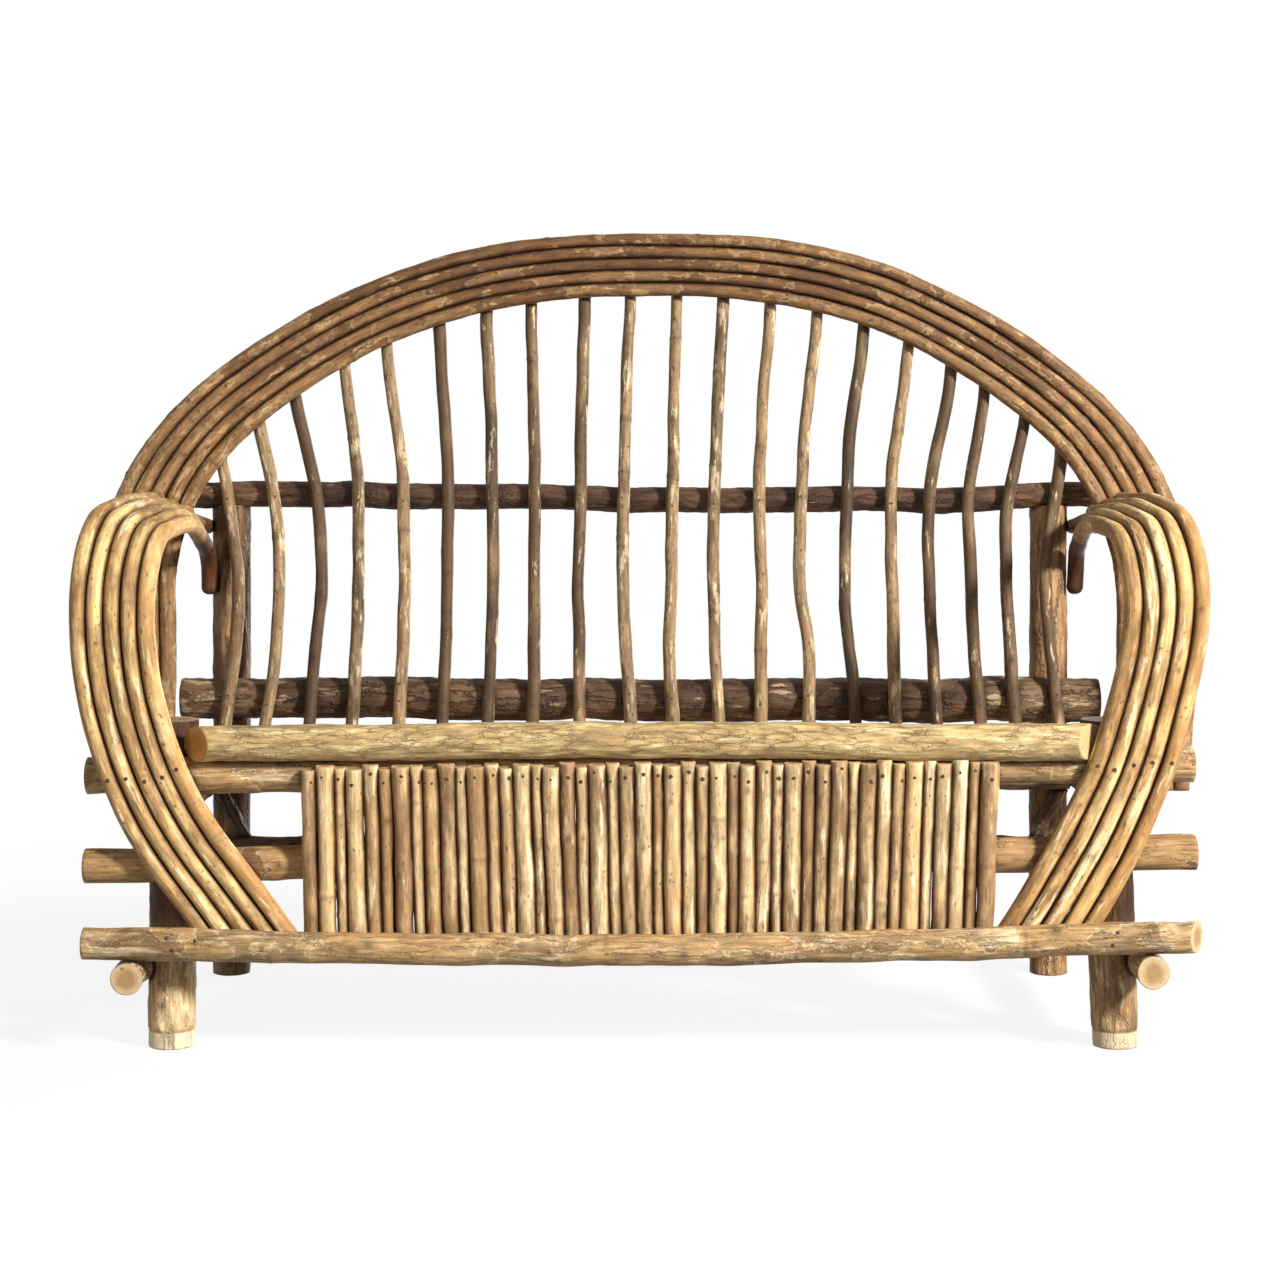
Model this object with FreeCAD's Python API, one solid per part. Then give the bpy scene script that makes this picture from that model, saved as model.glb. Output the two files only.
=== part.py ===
import FreeCAD, Part
import math
import os

# A porch sofa nailed up from round poles and bent rods, in millimetres.
# X runs along the sofa, Y from front to back and Z up. The pieces are laid out with Y zero at
# the axes of the front posts, and moved at the end so that the origin is under the middle.

V = FreeCAD.Vector

# Fits
FIT_GAP = 0.3          # clearance between pieces that bear on each other
SADDLE = 4.0           # depth of the shallow saddle that a post has for a side rail
BACK_SADDLE = 8.0      # depth of the saddle that a back post has for a log or rail
RAIL_NOTCH = 23.0      # depth to which the front top rail is let into the front posts

# Width: the log at the front of the seat sets it, and the posts and arms stand past its ends
SEAT_LOG_L = 1190.0
POST_PAST_LOG = 37.0   # from an end of the log to the post axes
ARM_PAST_LOG = 62.0    # from an end of the log to the inner arm rod, where it stands upright

# Posts
POST_DEPTH = 463.0     # from the front post axes to the back post axes
POST_D = 58.0          # of the back posts
FRONT_POST_D = 64.0
POST_TAPER = 4.0       # loss of diameter from the floor to the top of a back post
FRONT_POST_H = 444.0
FOOT_BAND = 24.0       # height of the debarked band at the foot
FOOT_STEP = 1.5        # bark thickness taken off at the band

# Front rails; a rise is how much higher the right end is than the left
TOP_RAIL_L = 1491.0
TOP_RAIL_D = 46.0
TOP_RAIL_Z = 377.0
TOP_RAIL_RISE = 16.0
MIDDLE_RAIL_L = 1502.0
MIDDLE_RAIL_D = 47.0
MIDDLE_RAIL_Z = 257.0
MIDDLE_RAIL_RISE = 19.0
BOTTOM_RAIL_L = 1480.0
BOTTOM_RAIL_D = 51.0
BOTTOM_RAIL_Z = 147.0  # at the bend in the middle
BOTTOM_LEFT_RISE = 13.0
BOTTOM_RIGHT_RISE = 22.0
BOTTOM_RAIL_SAW = math.radians(30.0)   # slant of its sawn right end, seen from above
STICK_TILT = math.radians(4.0)   # the skirt and the arm rods lean forward

# Seat
SEAT_LOG_D = 52.5
SEAT_LOG_FORWARD = math.radians(35.0)  # how far the log sits forward on the top rail
SEAT_LOG_SAW = math.radians(40.0)      # slant of its sawn ends, seen from above
DECK_D = 24.0
DECK_PITCH = 27.5
DECK_BACK_OVERHANG = 12.0
SKIRT_D = 19.3
SKIRT_VARY = 2.9       # how much thicker or thinner a stick may be
SKIRT_TURN = 2.4       # angle from stick to stick in the wave that sets their thickness
SKIRT_GAP = 0.9        # from stick to stick
SKIRT_ARM_GAP = 12.0   # at least, from the feet of the inner arm rods
SKIRT_SHIFT = 13.3     # the skirt stands a little to the right
SKIRT_TOP_CLEAR = 3.0  # below the seat log
SKIRT_TOP_VARY = 6.0   # how much lower a stick may end
SKIRT_TUCK = 6.0       # below the axis of the bottom rail

# Side rails
SIDE_D = 44.0
MIDDLE_SIDE_D = 26.0
LOWER_SIDE_FRONT = 102.0   # reach in front of the front post axes
UPPER_SIDE_FRONT = 45.0
SIDE_BACK = 50.0           # reach behind the back post axes

# Back frame
BACK_RAIL_D = 39.0
BACK_RAIL_L = 1408.0
BACK_RAIL_Z = 739.0
BACK_RAIL_FORWARD = 6.0    # the upper rail sits this far in front of the back post axes
BACK_LOG_D = 60.0
BACK_LOG_L = 1398.0
BACK_LOG_Z = 430.0
DECK_RAIL_D = 44.0
DECK_RAIL_Z = 311.0
LOWER_RAIL_D = 40.0
LOWER_RAIL_L = 1380.0
LOWER_RAIL_Z = 197.0
BRACE_D = 20.0
BRACE_TOP_OUT = 24.0       # from the post axes out to the top of the brace
BRACE_FOOT_IN = 36.0

# Arch of nested rods
ARCH_RODS = 5
ARCH_D = 19.4
ARCH_SIDE_PITCH = 24.0     # the rods spread a little on the legs
ARCH_RISE = 483.0          # inner rod, from its springing to its crown
ARCH_SPRING_Z = 582.0
ARCH_LEG = 286.0
ARCH_SPLIT = math.radians(40.0)   # where the side arcs meet the crown arc

# Splats, with their sideways drift from an even pitch at five heights
SPLAT_D = 19.2
SPLAT_INSET = 6.9          # from the post axes in to the first splat's even place
SPLAT_MIDDLE_Z = 600.0
SPLAT_LOW_Z = 510.0
SPLAT_TOP_REACH = 7.0      # above the axis of the inner arch rod
SPLAT_FOOT_CLEAR = 5.0     # above the deck
TOP_DRIFT = [-10, -21, -33, -22, -24, -11, -5, -4, 14, 18, 25, 30, 35, 37, 39, 39, 37, 20, 15, 2]
RAIL_DRIFT = [1, 3, 1, -3, -1, 2, 4, 4, 6, 7, 16, 15, 16, 17, 20, 22, 16, 9, -1, -2]
MIDDLE_DRIFT = [15, 11, 10, -1, 5, 3, 7, 2, 5, 6, 15, 12, 23, 11, 16, 24, 12, 10, -2, -8]
LOW_DRIFT = [11, 8, 2, -3, 2, 1, 5, 5, 7, 13, 12, 15, 19, 28, 21, 21, 15, 13, 2, -5]
FOOT_DRIFT = [-4, -10, -9, -8, -4, -3, -1, 2, 7, 20, 17, 23, 17, 23, 31, 25, 23, 23, 9, 11]

# Arms of bent rods; rod 0 is the inner one
ARM_RODS = 5
ARM_D = 22.5
LEFT_ARM_SLANT = math.radians(36.0)
RIGHT_ARM_SLANT = math.radians(33.5)
ARM_FOOT_UP = 16.0         # the rods end this far above the axis of the bottom rail
ARM_KNEE_Z = 418.0
ARM_KNEE_R = 520.0
ARM_TOP_Z = 690.0
ARM_TOP_STEP = 5.5
ARM_TOP_R = 105.0
ARM_TOP_R_STEP = 7.0
ARM_SPREAD = 24.2          # rod to rod over the crest and at the back ends
ARM_CREST_IN = 21.0        # the inner rod leans in by this over the crest
ARM_CREST_Y = 143.0
ARM_CREST_Z = 712.0
ARM_CREST_ROLL = math.radians(15.0)
ARM_CREST_R = 560.0
ARM_END_OUT = 33.0         # the third rod meets the arch this far outside the inner rod
ARM_END_Z = 712.0
ARM_END_ROLL = math.radians(25.0)
ARM_PAST_POST = 8.0        # the second rod ends this far behind the back post axis
ARM_POST_Z = 690.0
HOOK_Z = 650.0
HOOK_END_Z = 587.0
HOOK_R = 55.0
HOOK_BEFORE_POST = 20.0    # the hook comes down this far in front of the back post axis
TRIM_SIZE = 400.0          # size of the block that a saw cut takes away
SAW_SPARE = 40.0           # extra length before a slanted saw cut
RUN_SHARE = 0.45           # share of the shorter run that a bend may take up

POST_X = SEAT_LOG_L / 2 + POST_PAST_LOG
ARM_X = SEAT_LOG_L / 2 + ARM_PAST_LOG


def pole(start, end, start_d, end_d):
    """A straight round pole, tapered where its two diameters differ."""
    heading = end - start
    if abs(start_d - end_d) < FIT_GAP / 10:
        return Part.makeCylinder(start_d / 2, heading.Length, start, heading)
    return Part.makeCone(start_d / 2, end_d / 2, heading.Length, start, heading)


def corner_arc(before, corner, after, radius):
    """The arc of the given radius that rounds a corner; the first and last points are tangent."""
    back = (before - corner).normalize()
    ahead = (after - corner).normalize()
    half_turn = (math.pi - back.getAngle(ahead)) / 2
    reach = radius * math.tan(half_turn)
    sagitta = radius * (1 / math.cos(half_turn) - 1)
    middle = corner + (back + ahead).normalize() * sagitta
    return corner + back * reach, middle, corner + ahead * reach


def widest_radius(before, corner, after):
    """The largest tidy radius that the two runs at a corner have room for."""
    back = before - corner
    ahead = after - corner
    half_turn = (math.pi - back.getAngle(ahead)) / 2
    return RUN_SHARE * min(back.Length, ahead.Length) / math.tan(half_turn)


def rounded_wire(points, radii):
    """Straight runs through the points, joined by tangent arcs."""
    edges = []
    start = points[0]
    for before, corner, after, radius in zip(points, points[1:], points[2:], radii):
        first, middle, last = corner_arc(before, corner, after, radius)
        edges.append(Part.LineSegment(start, first).toShape())
        edges.append(Part.Arc(first, middle, last).toShape())
        start = last
    edges.append(Part.LineSegment(start, points[-1]).toShape())
    return Part.Wire(edges)


def sweep(wire, start, heading, diameter):
    ring = Part.Wire(Part.makeCircle(diameter / 2, start, heading))
    return Part.Solid(wire.makePipeShell([ring], True, False))


def rod(points, diameter, radii=None):
    """A bent rod of constant thickness along rounded runs."""
    if radii is None:
        radii = [widest_radius(*trio) for trio in zip(points, points[1:], points[2:])]
    return sweep(rounded_wire(points, radii), points[0], points[1] - points[0], diameter)


def sawn(shape, point, facing):
    """The shape with everything beyond a plane through the point cut away."""
    half = TRIM_SIZE / 2
    waste = Part.makeBox(TRIM_SIZE, TRIM_SIZE, TRIM_SIZE, V(-half, -half, 0))
    waste.Placement = FreeCAD.Placement(point, FreeCAD.Rotation(V(0, 0, 1), facing)) * waste.Placement
    return shape.cut(waste).Solids[0]


def slant_facing(side, slant):
    """Facing of a sawn end that looks sideways and forward."""
    return V(side * math.cos(slant), -math.sin(slant), 0)


# Front plane: the axes of the arm rods, leaning forward by the stick tilt

TOP_RAIL_Y = RAIL_NOTCH - (FRONT_POST_D + TOP_RAIL_D) / 2


def front_point(x, z, behind):
    """A point at the height z, the given distance behind the plane of the arm rods."""
    rod_y = TOP_RAIL_Y - ((TOP_RAIL_D + ARM_D) / 2 + FIT_GAP) / math.cos(STICK_TILT)
    return V(x, rod_y + (TOP_RAIL_Z - z) * math.tan(STICK_TILT) + behind / math.cos(STICK_TILT), z)


def behind_rods(diameter):
    return (ARM_D + diameter) / 2 + FIT_GAP


def top_rail_point(x):
    return front_point(x, TOP_RAIL_Z + TOP_RAIL_RISE * x / TOP_RAIL_L, behind_rods(TOP_RAIL_D))


def middle_rail_point(x):
    return front_point(x, MIDDLE_RAIL_Z + MIDDLE_RAIL_RISE * x / MIDDLE_RAIL_L, behind_rods(MIDDLE_RAIL_D))


def bottom_rail_point(x):
    rise = BOTTOM_RIGHT_RISE if x > 0 else BOTTOM_LEFT_RISE
    z = BOTTOM_RAIL_Z + rise * abs(x) / (BOTTOM_RAIL_L / 2)
    return front_point(x, z, -behind_rods(BOTTOM_RAIL_D))


def seat_log_point(x):
    reach = (TOP_RAIL_D + SEAT_LOG_D) / 2 + FIT_GAP
    return top_rail_point(x) + V(0, -math.sin(SEAT_LOG_FORWARD), math.cos(SEAT_LOG_FORWARD)) * reach


def rail_along(point_at, length, diameter, spare=0.0):
    """A straight front rail; the spare widens it to cut its own seat."""
    width = diameter + 2 * spare
    return pole(point_at(-length / 2), point_at(length / 2), width, width)


def front_top_rail(spare=0.0):
    return rail_along(top_rail_point, TOP_RAIL_L, TOP_RAIL_D, spare)


def front_middle_rail(spare=0.0):
    return rail_along(middle_rail_point, MIDDLE_RAIL_L, MIDDLE_RAIL_D, spare)


def front_bottom_rail():
    right_end = BOTTOM_RAIL_L / 2
    points = [bottom_rail_point(x) for x in (-right_end, 0, right_end + SAW_SPARE)]
    facing = slant_facing(1, BOTTOM_RAIL_SAW)
    return sawn(rod(points, BOTTOM_RAIL_D), bottom_rail_point(right_end), facing)


def seat_front_log():
    """The rounded front edge of the seat, sawn at a slant beside the arms."""
    log = rail_along(seat_log_point, SEAT_LOG_L + 2 * SAW_SPARE, SEAT_LOG_D)
    for side in (-1, 1):
        log = sawn(log, seat_log_point(side * SEAT_LOG_L / 2), slant_facing(side, SEAT_LOG_SAW))
    return log


# Side rails

SIDE_X = POST_X + (POST_D + SIDE_D) / 2 - SADDLE
MIDDLE_SIDE_X = POST_X + (POST_D + MIDDLE_SIDE_D) / 2 - SADDLE


def side_rail(x, z, front, diameter, spare):
    width = diameter + 2 * spare
    return pole(V(x, -front, z), V(x, POST_DEPTH + SIDE_BACK, z), width, width)


def lower_side_rail(side, spare=0.0):
    x = side * SIDE_X
    z = bottom_rail_point(x).z - (BOTTOM_RAIL_D + SIDE_D) / 2 - FIT_GAP
    return side_rail(x, z, LOWER_SIDE_FRONT, SIDE_D, spare)


def middle_side_rail(side, spare=0.0):
    x = side * MIDDLE_SIDE_X
    z = middle_rail_point(x).z + (MIDDLE_RAIL_D + MIDDLE_SIDE_D) / 2 + FIT_GAP
    return side_rail(x, z, UPPER_SIDE_FRONT, MIDDLE_SIDE_D, spare)


def seat_side_rail(side, spare=0.0):
    x = side * SIDE_X
    z = top_rail_point(x).z - (TOP_RAIL_D + SIDE_D) / 2 - FIT_GAP
    return side_rail(x, z, UPPER_SIDE_FRONT, SIDE_D, spare)


# Back frame

BACK_POST_H = BACK_RAIL_Z - BACK_RAIL_D / 2 + SADDLE


def back_pole_y(diameter):
    """Y of a pole let into the front of the back posts."""
    return POST_DEPTH - (POST_D + diameter) / 2 + BACK_SADDLE


def level_pole(y, z, length, diameter, spare):
    width = diameter + 2 * spare
    return pole(V(-length / 2, y, z), V(length / 2, y, z), width, width)


def back_upper_rail(spare=0.0):
    return level_pole(POST_DEPTH - BACK_RAIL_FORWARD, BACK_RAIL_Z, BACK_RAIL_L, BACK_RAIL_D, spare)


def back_seat_log(spare=0.0):
    return level_pole(back_pole_y(BACK_LOG_D), BACK_LOG_Z, BACK_LOG_L, BACK_LOG_D, spare)


def back_deck_rail(spare=0.0):
    length = 2 * (SIDE_X - SIDE_D / 2 - FIT_GAP)
    return level_pole(back_pole_y(DECK_RAIL_D), DECK_RAIL_Z, length, DECK_RAIL_D, spare)


def back_lower_rail(spare=0.0):
    return level_pole(back_pole_y(LOWER_RAIL_D), LOWER_RAIL_Z, LOWER_RAIL_L, LOWER_RAIL_D, spare)


def back_brace(side):
    """A short diagonal stick, coped between the two back rails."""
    y = back_pole_y(LOWER_RAIL_D)
    top = V(side * (POST_X + BRACE_TOP_OUT), y, DECK_RAIL_Z)
    foot = V(side * (POST_X - BRACE_FOOT_IN), y, LOWER_RAIL_Z)
    brace = pole(top, foot, BRACE_D, BRACE_D)
    for neighbour in (back_deck_rail(FIT_GAP), back_lower_rail(FIT_GAP), middle_side_rail(side, FIT_GAP)):
        brace = brace.cut(neighbour)
    return brace.Solids[0]


# Posts

def post_radius(z):
    """Of a back post at a height."""
    return tapered(POST_D, z) / 2


def tapered(diameter, z):
    return diameter - POST_TAPER * z / BACK_POST_H


def post(x, y, height, diameter):
    """A tapered pole with a debarked band at its foot."""
    foot = Part.makeCylinder(diameter / 2 - FOOT_STEP, FOOT_BAND, V(x, y, 0))
    shaft = pole(V(x, y, FOOT_BAND), V(x, y, height), tapered(diameter, FOOT_BAND), tapered(diameter, height))
    return foot.fuse(shaft)


def seated(shape, neighbours):
    """Cuts the seats of the neighbouring poles."""
    for neighbour in neighbours:
        shape = shape.cut(neighbour)
    return shape.removeSplitter().Solids[0]


def side_rails(side, spare):
    return [make(side, spare) for make in (lower_side_rail, middle_side_rail, seat_side_rail)]


def front_post(side):
    rails = [front_top_rail(FIT_GAP), front_middle_rail(FIT_GAP)]
    return seated(post(side * POST_X, 0, FRONT_POST_H, FRONT_POST_D), rails + side_rails(side, FIT_GAP))


def back_post(side):
    makers = (back_upper_rail, back_seat_log, back_deck_rail, back_lower_rail)
    rails = [make(FIT_GAP) for make in makers]
    return seated(post(side * POST_X, POST_DEPTH, BACK_POST_H, POST_D), rails + side_rails(side, FIT_GAP))


# Back plane: the axes of the splats, which lean against the back log and the upper rail

LOG_OFFSET = (BACK_LOG_D + SPLAT_D) / 2 + FIT_GAP
RAIL_OFFSET = (BACK_RAIL_D + SPLAT_D) / 2 + FIT_GAP
LOG_TO_RAIL_Y = POST_DEPTH - BACK_RAIL_FORWARD - back_pole_y(BACK_LOG_D)
LOG_TO_RAIL_Z = BACK_RAIL_Z - BACK_LOG_Z
LOG_TO_RAIL = math.hypot(LOG_TO_RAIL_Y, LOG_TO_RAIL_Z)
LEAN = math.acos((RAIL_OFFSET - LOG_OFFSET) / LOG_TO_RAIL) - math.atan2(LOG_TO_RAIL_Z, LOG_TO_RAIL_Y)
ARCH_PROUD = (SPLAT_D + ARCH_D) / 2 + FIT_GAP


def back_point(x, z, proud):
    """A point at the height z, the given distance in front of the plane of the splats."""
    log_y = back_pole_y(BACK_LOG_D) - (LOG_OFFSET + proud) / math.cos(LEAN)
    return V(x, log_y + (z - BACK_LOG_Z) * math.tan(LEAN), z)


# Arch

ARCH_HALF = SIDE_X + (SIDE_D + ARCH_D) / 2 + FIT_GAP


def arch_shape(index):
    """Half span, rise, side radius and crown radius of a three-centred arch."""
    half = ARCH_HALF + index * ARCH_SIDE_PITCH
    rise = ARCH_RISE + index * (ARCH_D + FIT_GAP)
    centres = (half - rise) / (math.sin(ARCH_SPLIT) + math.cos(ARCH_SPLIT) - 1)
    return half, rise, half - centres * math.sin(ARCH_SPLIT), rise + centres * math.cos(ARCH_SPLIT)


def arch_point(x, up):
    """A point of the arch's plane, measured along its slope from the springing."""
    return back_point(x, ARCH_SPRING_Z, ARCH_PROUD) + V(0, math.sin(LEAN), math.cos(LEAN)) * up


def arch_rod(index):
    half, rise, side_r, crown_r = arch_shape(index)
    shoulder = (math.pi / 2 - ARCH_SPLIT) / 2
    edges = []
    joint_x = crown_r * math.sin(ARCH_SPLIT)
    joint_up = rise - crown_r * (1 - math.cos(ARCH_SPLIT))
    swell_x = half - side_r * (1 - math.cos(shoulder))
    swell_up = side_r * math.sin(shoulder)
    foot = arch_point(-half, -ARCH_LEG)
    edges.append(Part.LineSegment(foot, arch_point(-half, 0)).toShape())
    edges.append(Part.Arc(arch_point(-half, 0), arch_point(-swell_x, swell_up),
                          arch_point(-joint_x, joint_up)).toShape())
    edges.append(Part.Arc(arch_point(-joint_x, joint_up), arch_point(0, rise),
                          arch_point(joint_x, joint_up)).toShape())
    edges.append(Part.Arc(arch_point(joint_x, joint_up), arch_point(swell_x, swell_up),
                          arch_point(half, 0)).toShape())
    edges.append(Part.LineSegment(arch_point(half, 0), arch_point(half, -ARCH_LEG)).toShape())
    return sweep(Part.Wire(edges), foot, arch_point(-half, 0) - foot, ARCH_D)


def arch_height(x):
    """Height of the inner rod's axis over x, along the slope."""
    half, rise, side_r, crown_r = arch_shape(0)
    if abs(x) < crown_r * math.sin(ARCH_SPLIT):
        return rise - crown_r + math.sqrt(crown_r ** 2 - x ** 2)
    return math.sqrt(side_r ** 2 - (abs(x) - half + side_r) ** 2)


# Deck and skirt

def deck_line(x):
    """Ends of a deck stick's axis, which lies on the top rail and the deck rail."""
    front = top_rail_point(x)
    back = V(x, back_pole_y(DECK_RAIL_D), DECK_RAIL_Z)
    front_r = (TOP_RAIL_D + DECK_D) / 2 + FIT_GAP
    back_r = (DECK_RAIL_D + DECK_D) / 2 + FIT_GAP
    run = math.hypot(back.y - front.y, back.z - front.z)
    fall = math.atan2(front.z - back.z, back.y - front.y) + math.asin((front_r - back_r) / run)
    ahead = V(0, math.cos(fall), -math.sin(fall))
    above = V(0, math.sin(fall), math.cos(fall))
    log = seat_log_point(x)
    start = front + above * front_r + ahead * (SEAT_LOG_D / 2 + FIT_GAP - ahead.dot(front - log))
    end = back + above * back_r + ahead * (DECK_RAIL_D / 2 + DECK_BACK_OVERHANG)
    return start, end


def deck_top_z(x, y):
    start, end = deck_line(x)
    return start.z + (end.z - start.z) * (y - start.y) / (end.y - start.y) + DECK_D / 2


def row(count, pitch):
    return [(k - (count - 1) / 2) * pitch for k in range(count)]


def deck_sticks():
    """As many sticks as the seat log is wide, with one in the middle."""
    per_half = int((SEAT_LOG_L - DECK_D) / 2 / DECK_PITCH)
    sticks = []
    for x in row(2 * per_half + 1, DECK_PITCH):
        start, end = deck_line(x)
        sticks.append(pole(start, end, DECK_D, DECK_D))
    return Part.makeCompound(sticks)


def skirt_row():
    """Place, thickness and shortening of each skirt stick, as many as fit between the arms' feet."""
    room = arm_foot_x(1, 0) + arm_foot_x(-1, 0) - 2 * SKIRT_ARM_GAP
    count = int((room + SKIRT_GAP) / (SKIRT_D + SKIRT_GAP))
    widths = [SKIRT_D + SKIRT_VARY * math.sin(SKIRT_TURN * k) for k in range(count)]
    x = SKIRT_SHIFT - (sum(widths) + (count - 1) * SKIRT_GAP) / 2
    sticks = []
    for k, width in enumerate(widths):
        sticks.append((x + width / 2, width, SKIRT_TOP_VARY * math.cos(SKIRT_TURN * k / 2) ** 2))
        x += width + SKIRT_GAP
    return sticks


def skirt_sticks():
    """Short upright sticks nailed to the front of the top rail."""
    sticks = []
    for x, width, shorter in skirt_row():
        setback = (ARM_D - width) / 2
        foot_z = bottom_rail_point(x).z - SKIRT_TUCK
        top_z = seat_log_point(x).z - SEAT_LOG_D / 2 - SKIRT_TOP_CLEAR - shorter
        sticks.append(pole(front_point(x, foot_z, setback), front_point(x, top_z, setback), width, width))
    return Part.makeCompound(sticks)


# Splats

def splat_even_x(index):
    """Splats are spread evenly between the back posts, apart from their drift."""
    pitch = 2 * (POST_X - SPLAT_INSET) / (len(TOP_DRIFT) - 1)
    return row(len(TOP_DRIFT), pitch)[index]


def splat_foot(x):
    y = back_point(0, BACK_LOG_Z - BACK_LOG_D / 2, 0).y
    return back_point(x, deck_top_z(x, y) + SPLAT_FOOT_CLEAR, 0)


def splat(index):
    even = splat_even_x(index)
    top_x = even + TOP_DRIFT[index]
    top_z = arch_point(0, arch_height(top_x) + SPLAT_TOP_REACH).z
    points = [splat_foot(even + FOOT_DRIFT[index]),
              back_point(even + LOW_DRIFT[index], SPLAT_LOW_Z, 0),
              back_point(even + MIDDLE_DRIFT[index], SPLAT_MIDDLE_Z, 0),
              back_point(even + RAIL_DRIFT[index], BACK_RAIL_Z, 0),
              back_point(top_x, top_z, 0)]
    return rod(points, SPLAT_D)


# Arms

def fan(index, x, z, roll):
    """Place of a rod in a row that is rolled up towards the outside."""
    return x + index * ARM_SPREAD * math.cos(roll), z + index * ARM_SPREAD * math.sin(roll)


ARM_PITCH = ARM_D + FIT_GAP
ARM_FOOT_Z = BOTTOM_RAIL_Z + ARM_FOOT_UP


def arm_slant(side):
    return RIGHT_ARM_SLANT if side > 0 else LEFT_ARM_SLANT


def arm_knee(side, index):
    """Where the straight lower and upper runs of a rod would meet."""
    return ARM_X + index * ARM_PITCH, ARM_KNEE_Z - index * ARM_PITCH * math.tan(arm_slant(side) / 2)


def arm_knee_r(index):
    return ARM_KNEE_R + index * ARM_PITCH


def arm_foot_x(side, index):
    knee_x, knee_z = arm_knee(side, index)
    return knee_x - (knee_z - ARM_FOOT_Z) * math.tan(arm_slant(side))


def arm_rod(side, index):
    """A rod from behind the bottom rail, up and out, over the crest and back to the post or the arch."""
    knee_x, knee_z = arm_knee(side, index)
    crest_x, crest_z = fan(index, ARM_X - ARM_CREST_IN, ARM_CREST_Z, ARM_CREST_ROLL)
    points = [front_point(side * arm_foot_x(side, index), ARM_FOOT_Z, 0),
              front_point(side * knee_x, knee_z, 0),
              front_point(side * knee_x, ARM_TOP_Z + index * ARM_TOP_STEP, 0),
              V(side * crest_x, ARM_CREST_Y, crest_z)]
    radii = [arm_knee_r(index), ARM_TOP_R + index * ARM_TOP_R_STEP, ARM_CREST_R]
    if index == 0:
        hook_x = POST_X + post_radius(HOOK_END_Z) + ARM_D / 2 + FIT_GAP
        hook_y = POST_DEPTH - HOOK_BEFORE_POST
        points += [V(side * hook_x, hook_y, HOOK_Z), V(side * hook_x, hook_y, HOOK_END_Z)]
        return rod(points, ARM_D, radii + [HOOK_R])
    if index == 1:
        end_x = POST_X + post_radius(ARM_POST_Z) + ARM_D / 2 + FIT_GAP
        points.append(V(side * end_x, POST_DEPTH + ARM_PAST_POST, ARM_POST_Z))
        return rod(points, ARM_D, radii)
    end_x, end_z = fan(index - 2, ARM_X + ARM_END_OUT, ARM_END_Z, ARM_END_ROLL)
    points.append(back_point(side * end_x, end_z, 0))
    face = back_point(side * end_x, end_z, ARCH_PROUD + ARCH_D / 2 + FIT_GAP)
    return sawn(rod(points, ARM_D, radii), face, V(0, math.cos(LEAN), -math.sin(LEAN)))


def build():
    parts = {
        "front_bottom_rail": front_bottom_rail(),
        "front_middle_rail": front_middle_rail(),
        "front_top_rail": front_top_rail(),
        "seat_front_log": seat_front_log(),
        "back_upper_rail": back_upper_rail(),
        "back_seat_log": back_seat_log(),
        "back_deck_rail": back_deck_rail(),
        "back_lower_rail": back_lower_rail(),
        "deck_sticks": deck_sticks(),
        "skirt_sticks": skirt_sticks(),
    }
    for side, word in ((-1, "left"), (1, "right")):
        parts["front_post_" + word] = front_post(side)
        parts["back_post_" + word] = back_post(side)
        parts["lower_side_rail_" + word] = lower_side_rail(side)
        parts["middle_side_rail_" + word] = middle_side_rail(side)
        parts["seat_side_rail_" + word] = seat_side_rail(side)
        parts["back_brace_" + word] = back_brace(side)
        for index in range(ARM_RODS):
            parts["arm_rod_%s_%d" % (word, index + 1)] = arm_rod(side, index)
    for index in range(ARCH_RODS):
        parts["arch_rod_%d" % (index + 1)] = arch_rod(index)
    for index in range(len(TOP_DRIFT)):
        parts["back_splat_%02d" % (index + 1)] = splat(index)
    return parts


def centred(parts):
    """Moves the pieces so that the origin is on the floor under the middle of the sofa."""
    box = Part.makeCompound(list(parts.values())).optimalBoundingBox(False)
    for shape in parts.values():
        shape.translate(V(-box.Center.x, -box.Center.y, -box.ZMin))
    return parts


os.makedirs("parts", exist_ok=True)
for name, shape in centred(build()).items():
    shape.exportStep("parts/" + name + ".step")
    print(name, shape.isValid(), len(shape.Solids), round(shape.Volume))
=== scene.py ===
import math
from dataclasses import dataclass, replace

import bmesh
import bpy
import numpy as np
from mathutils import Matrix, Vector
from mathutils.bvhtree import BVHTree
from mathutils.kdtree import KDTree

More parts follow.
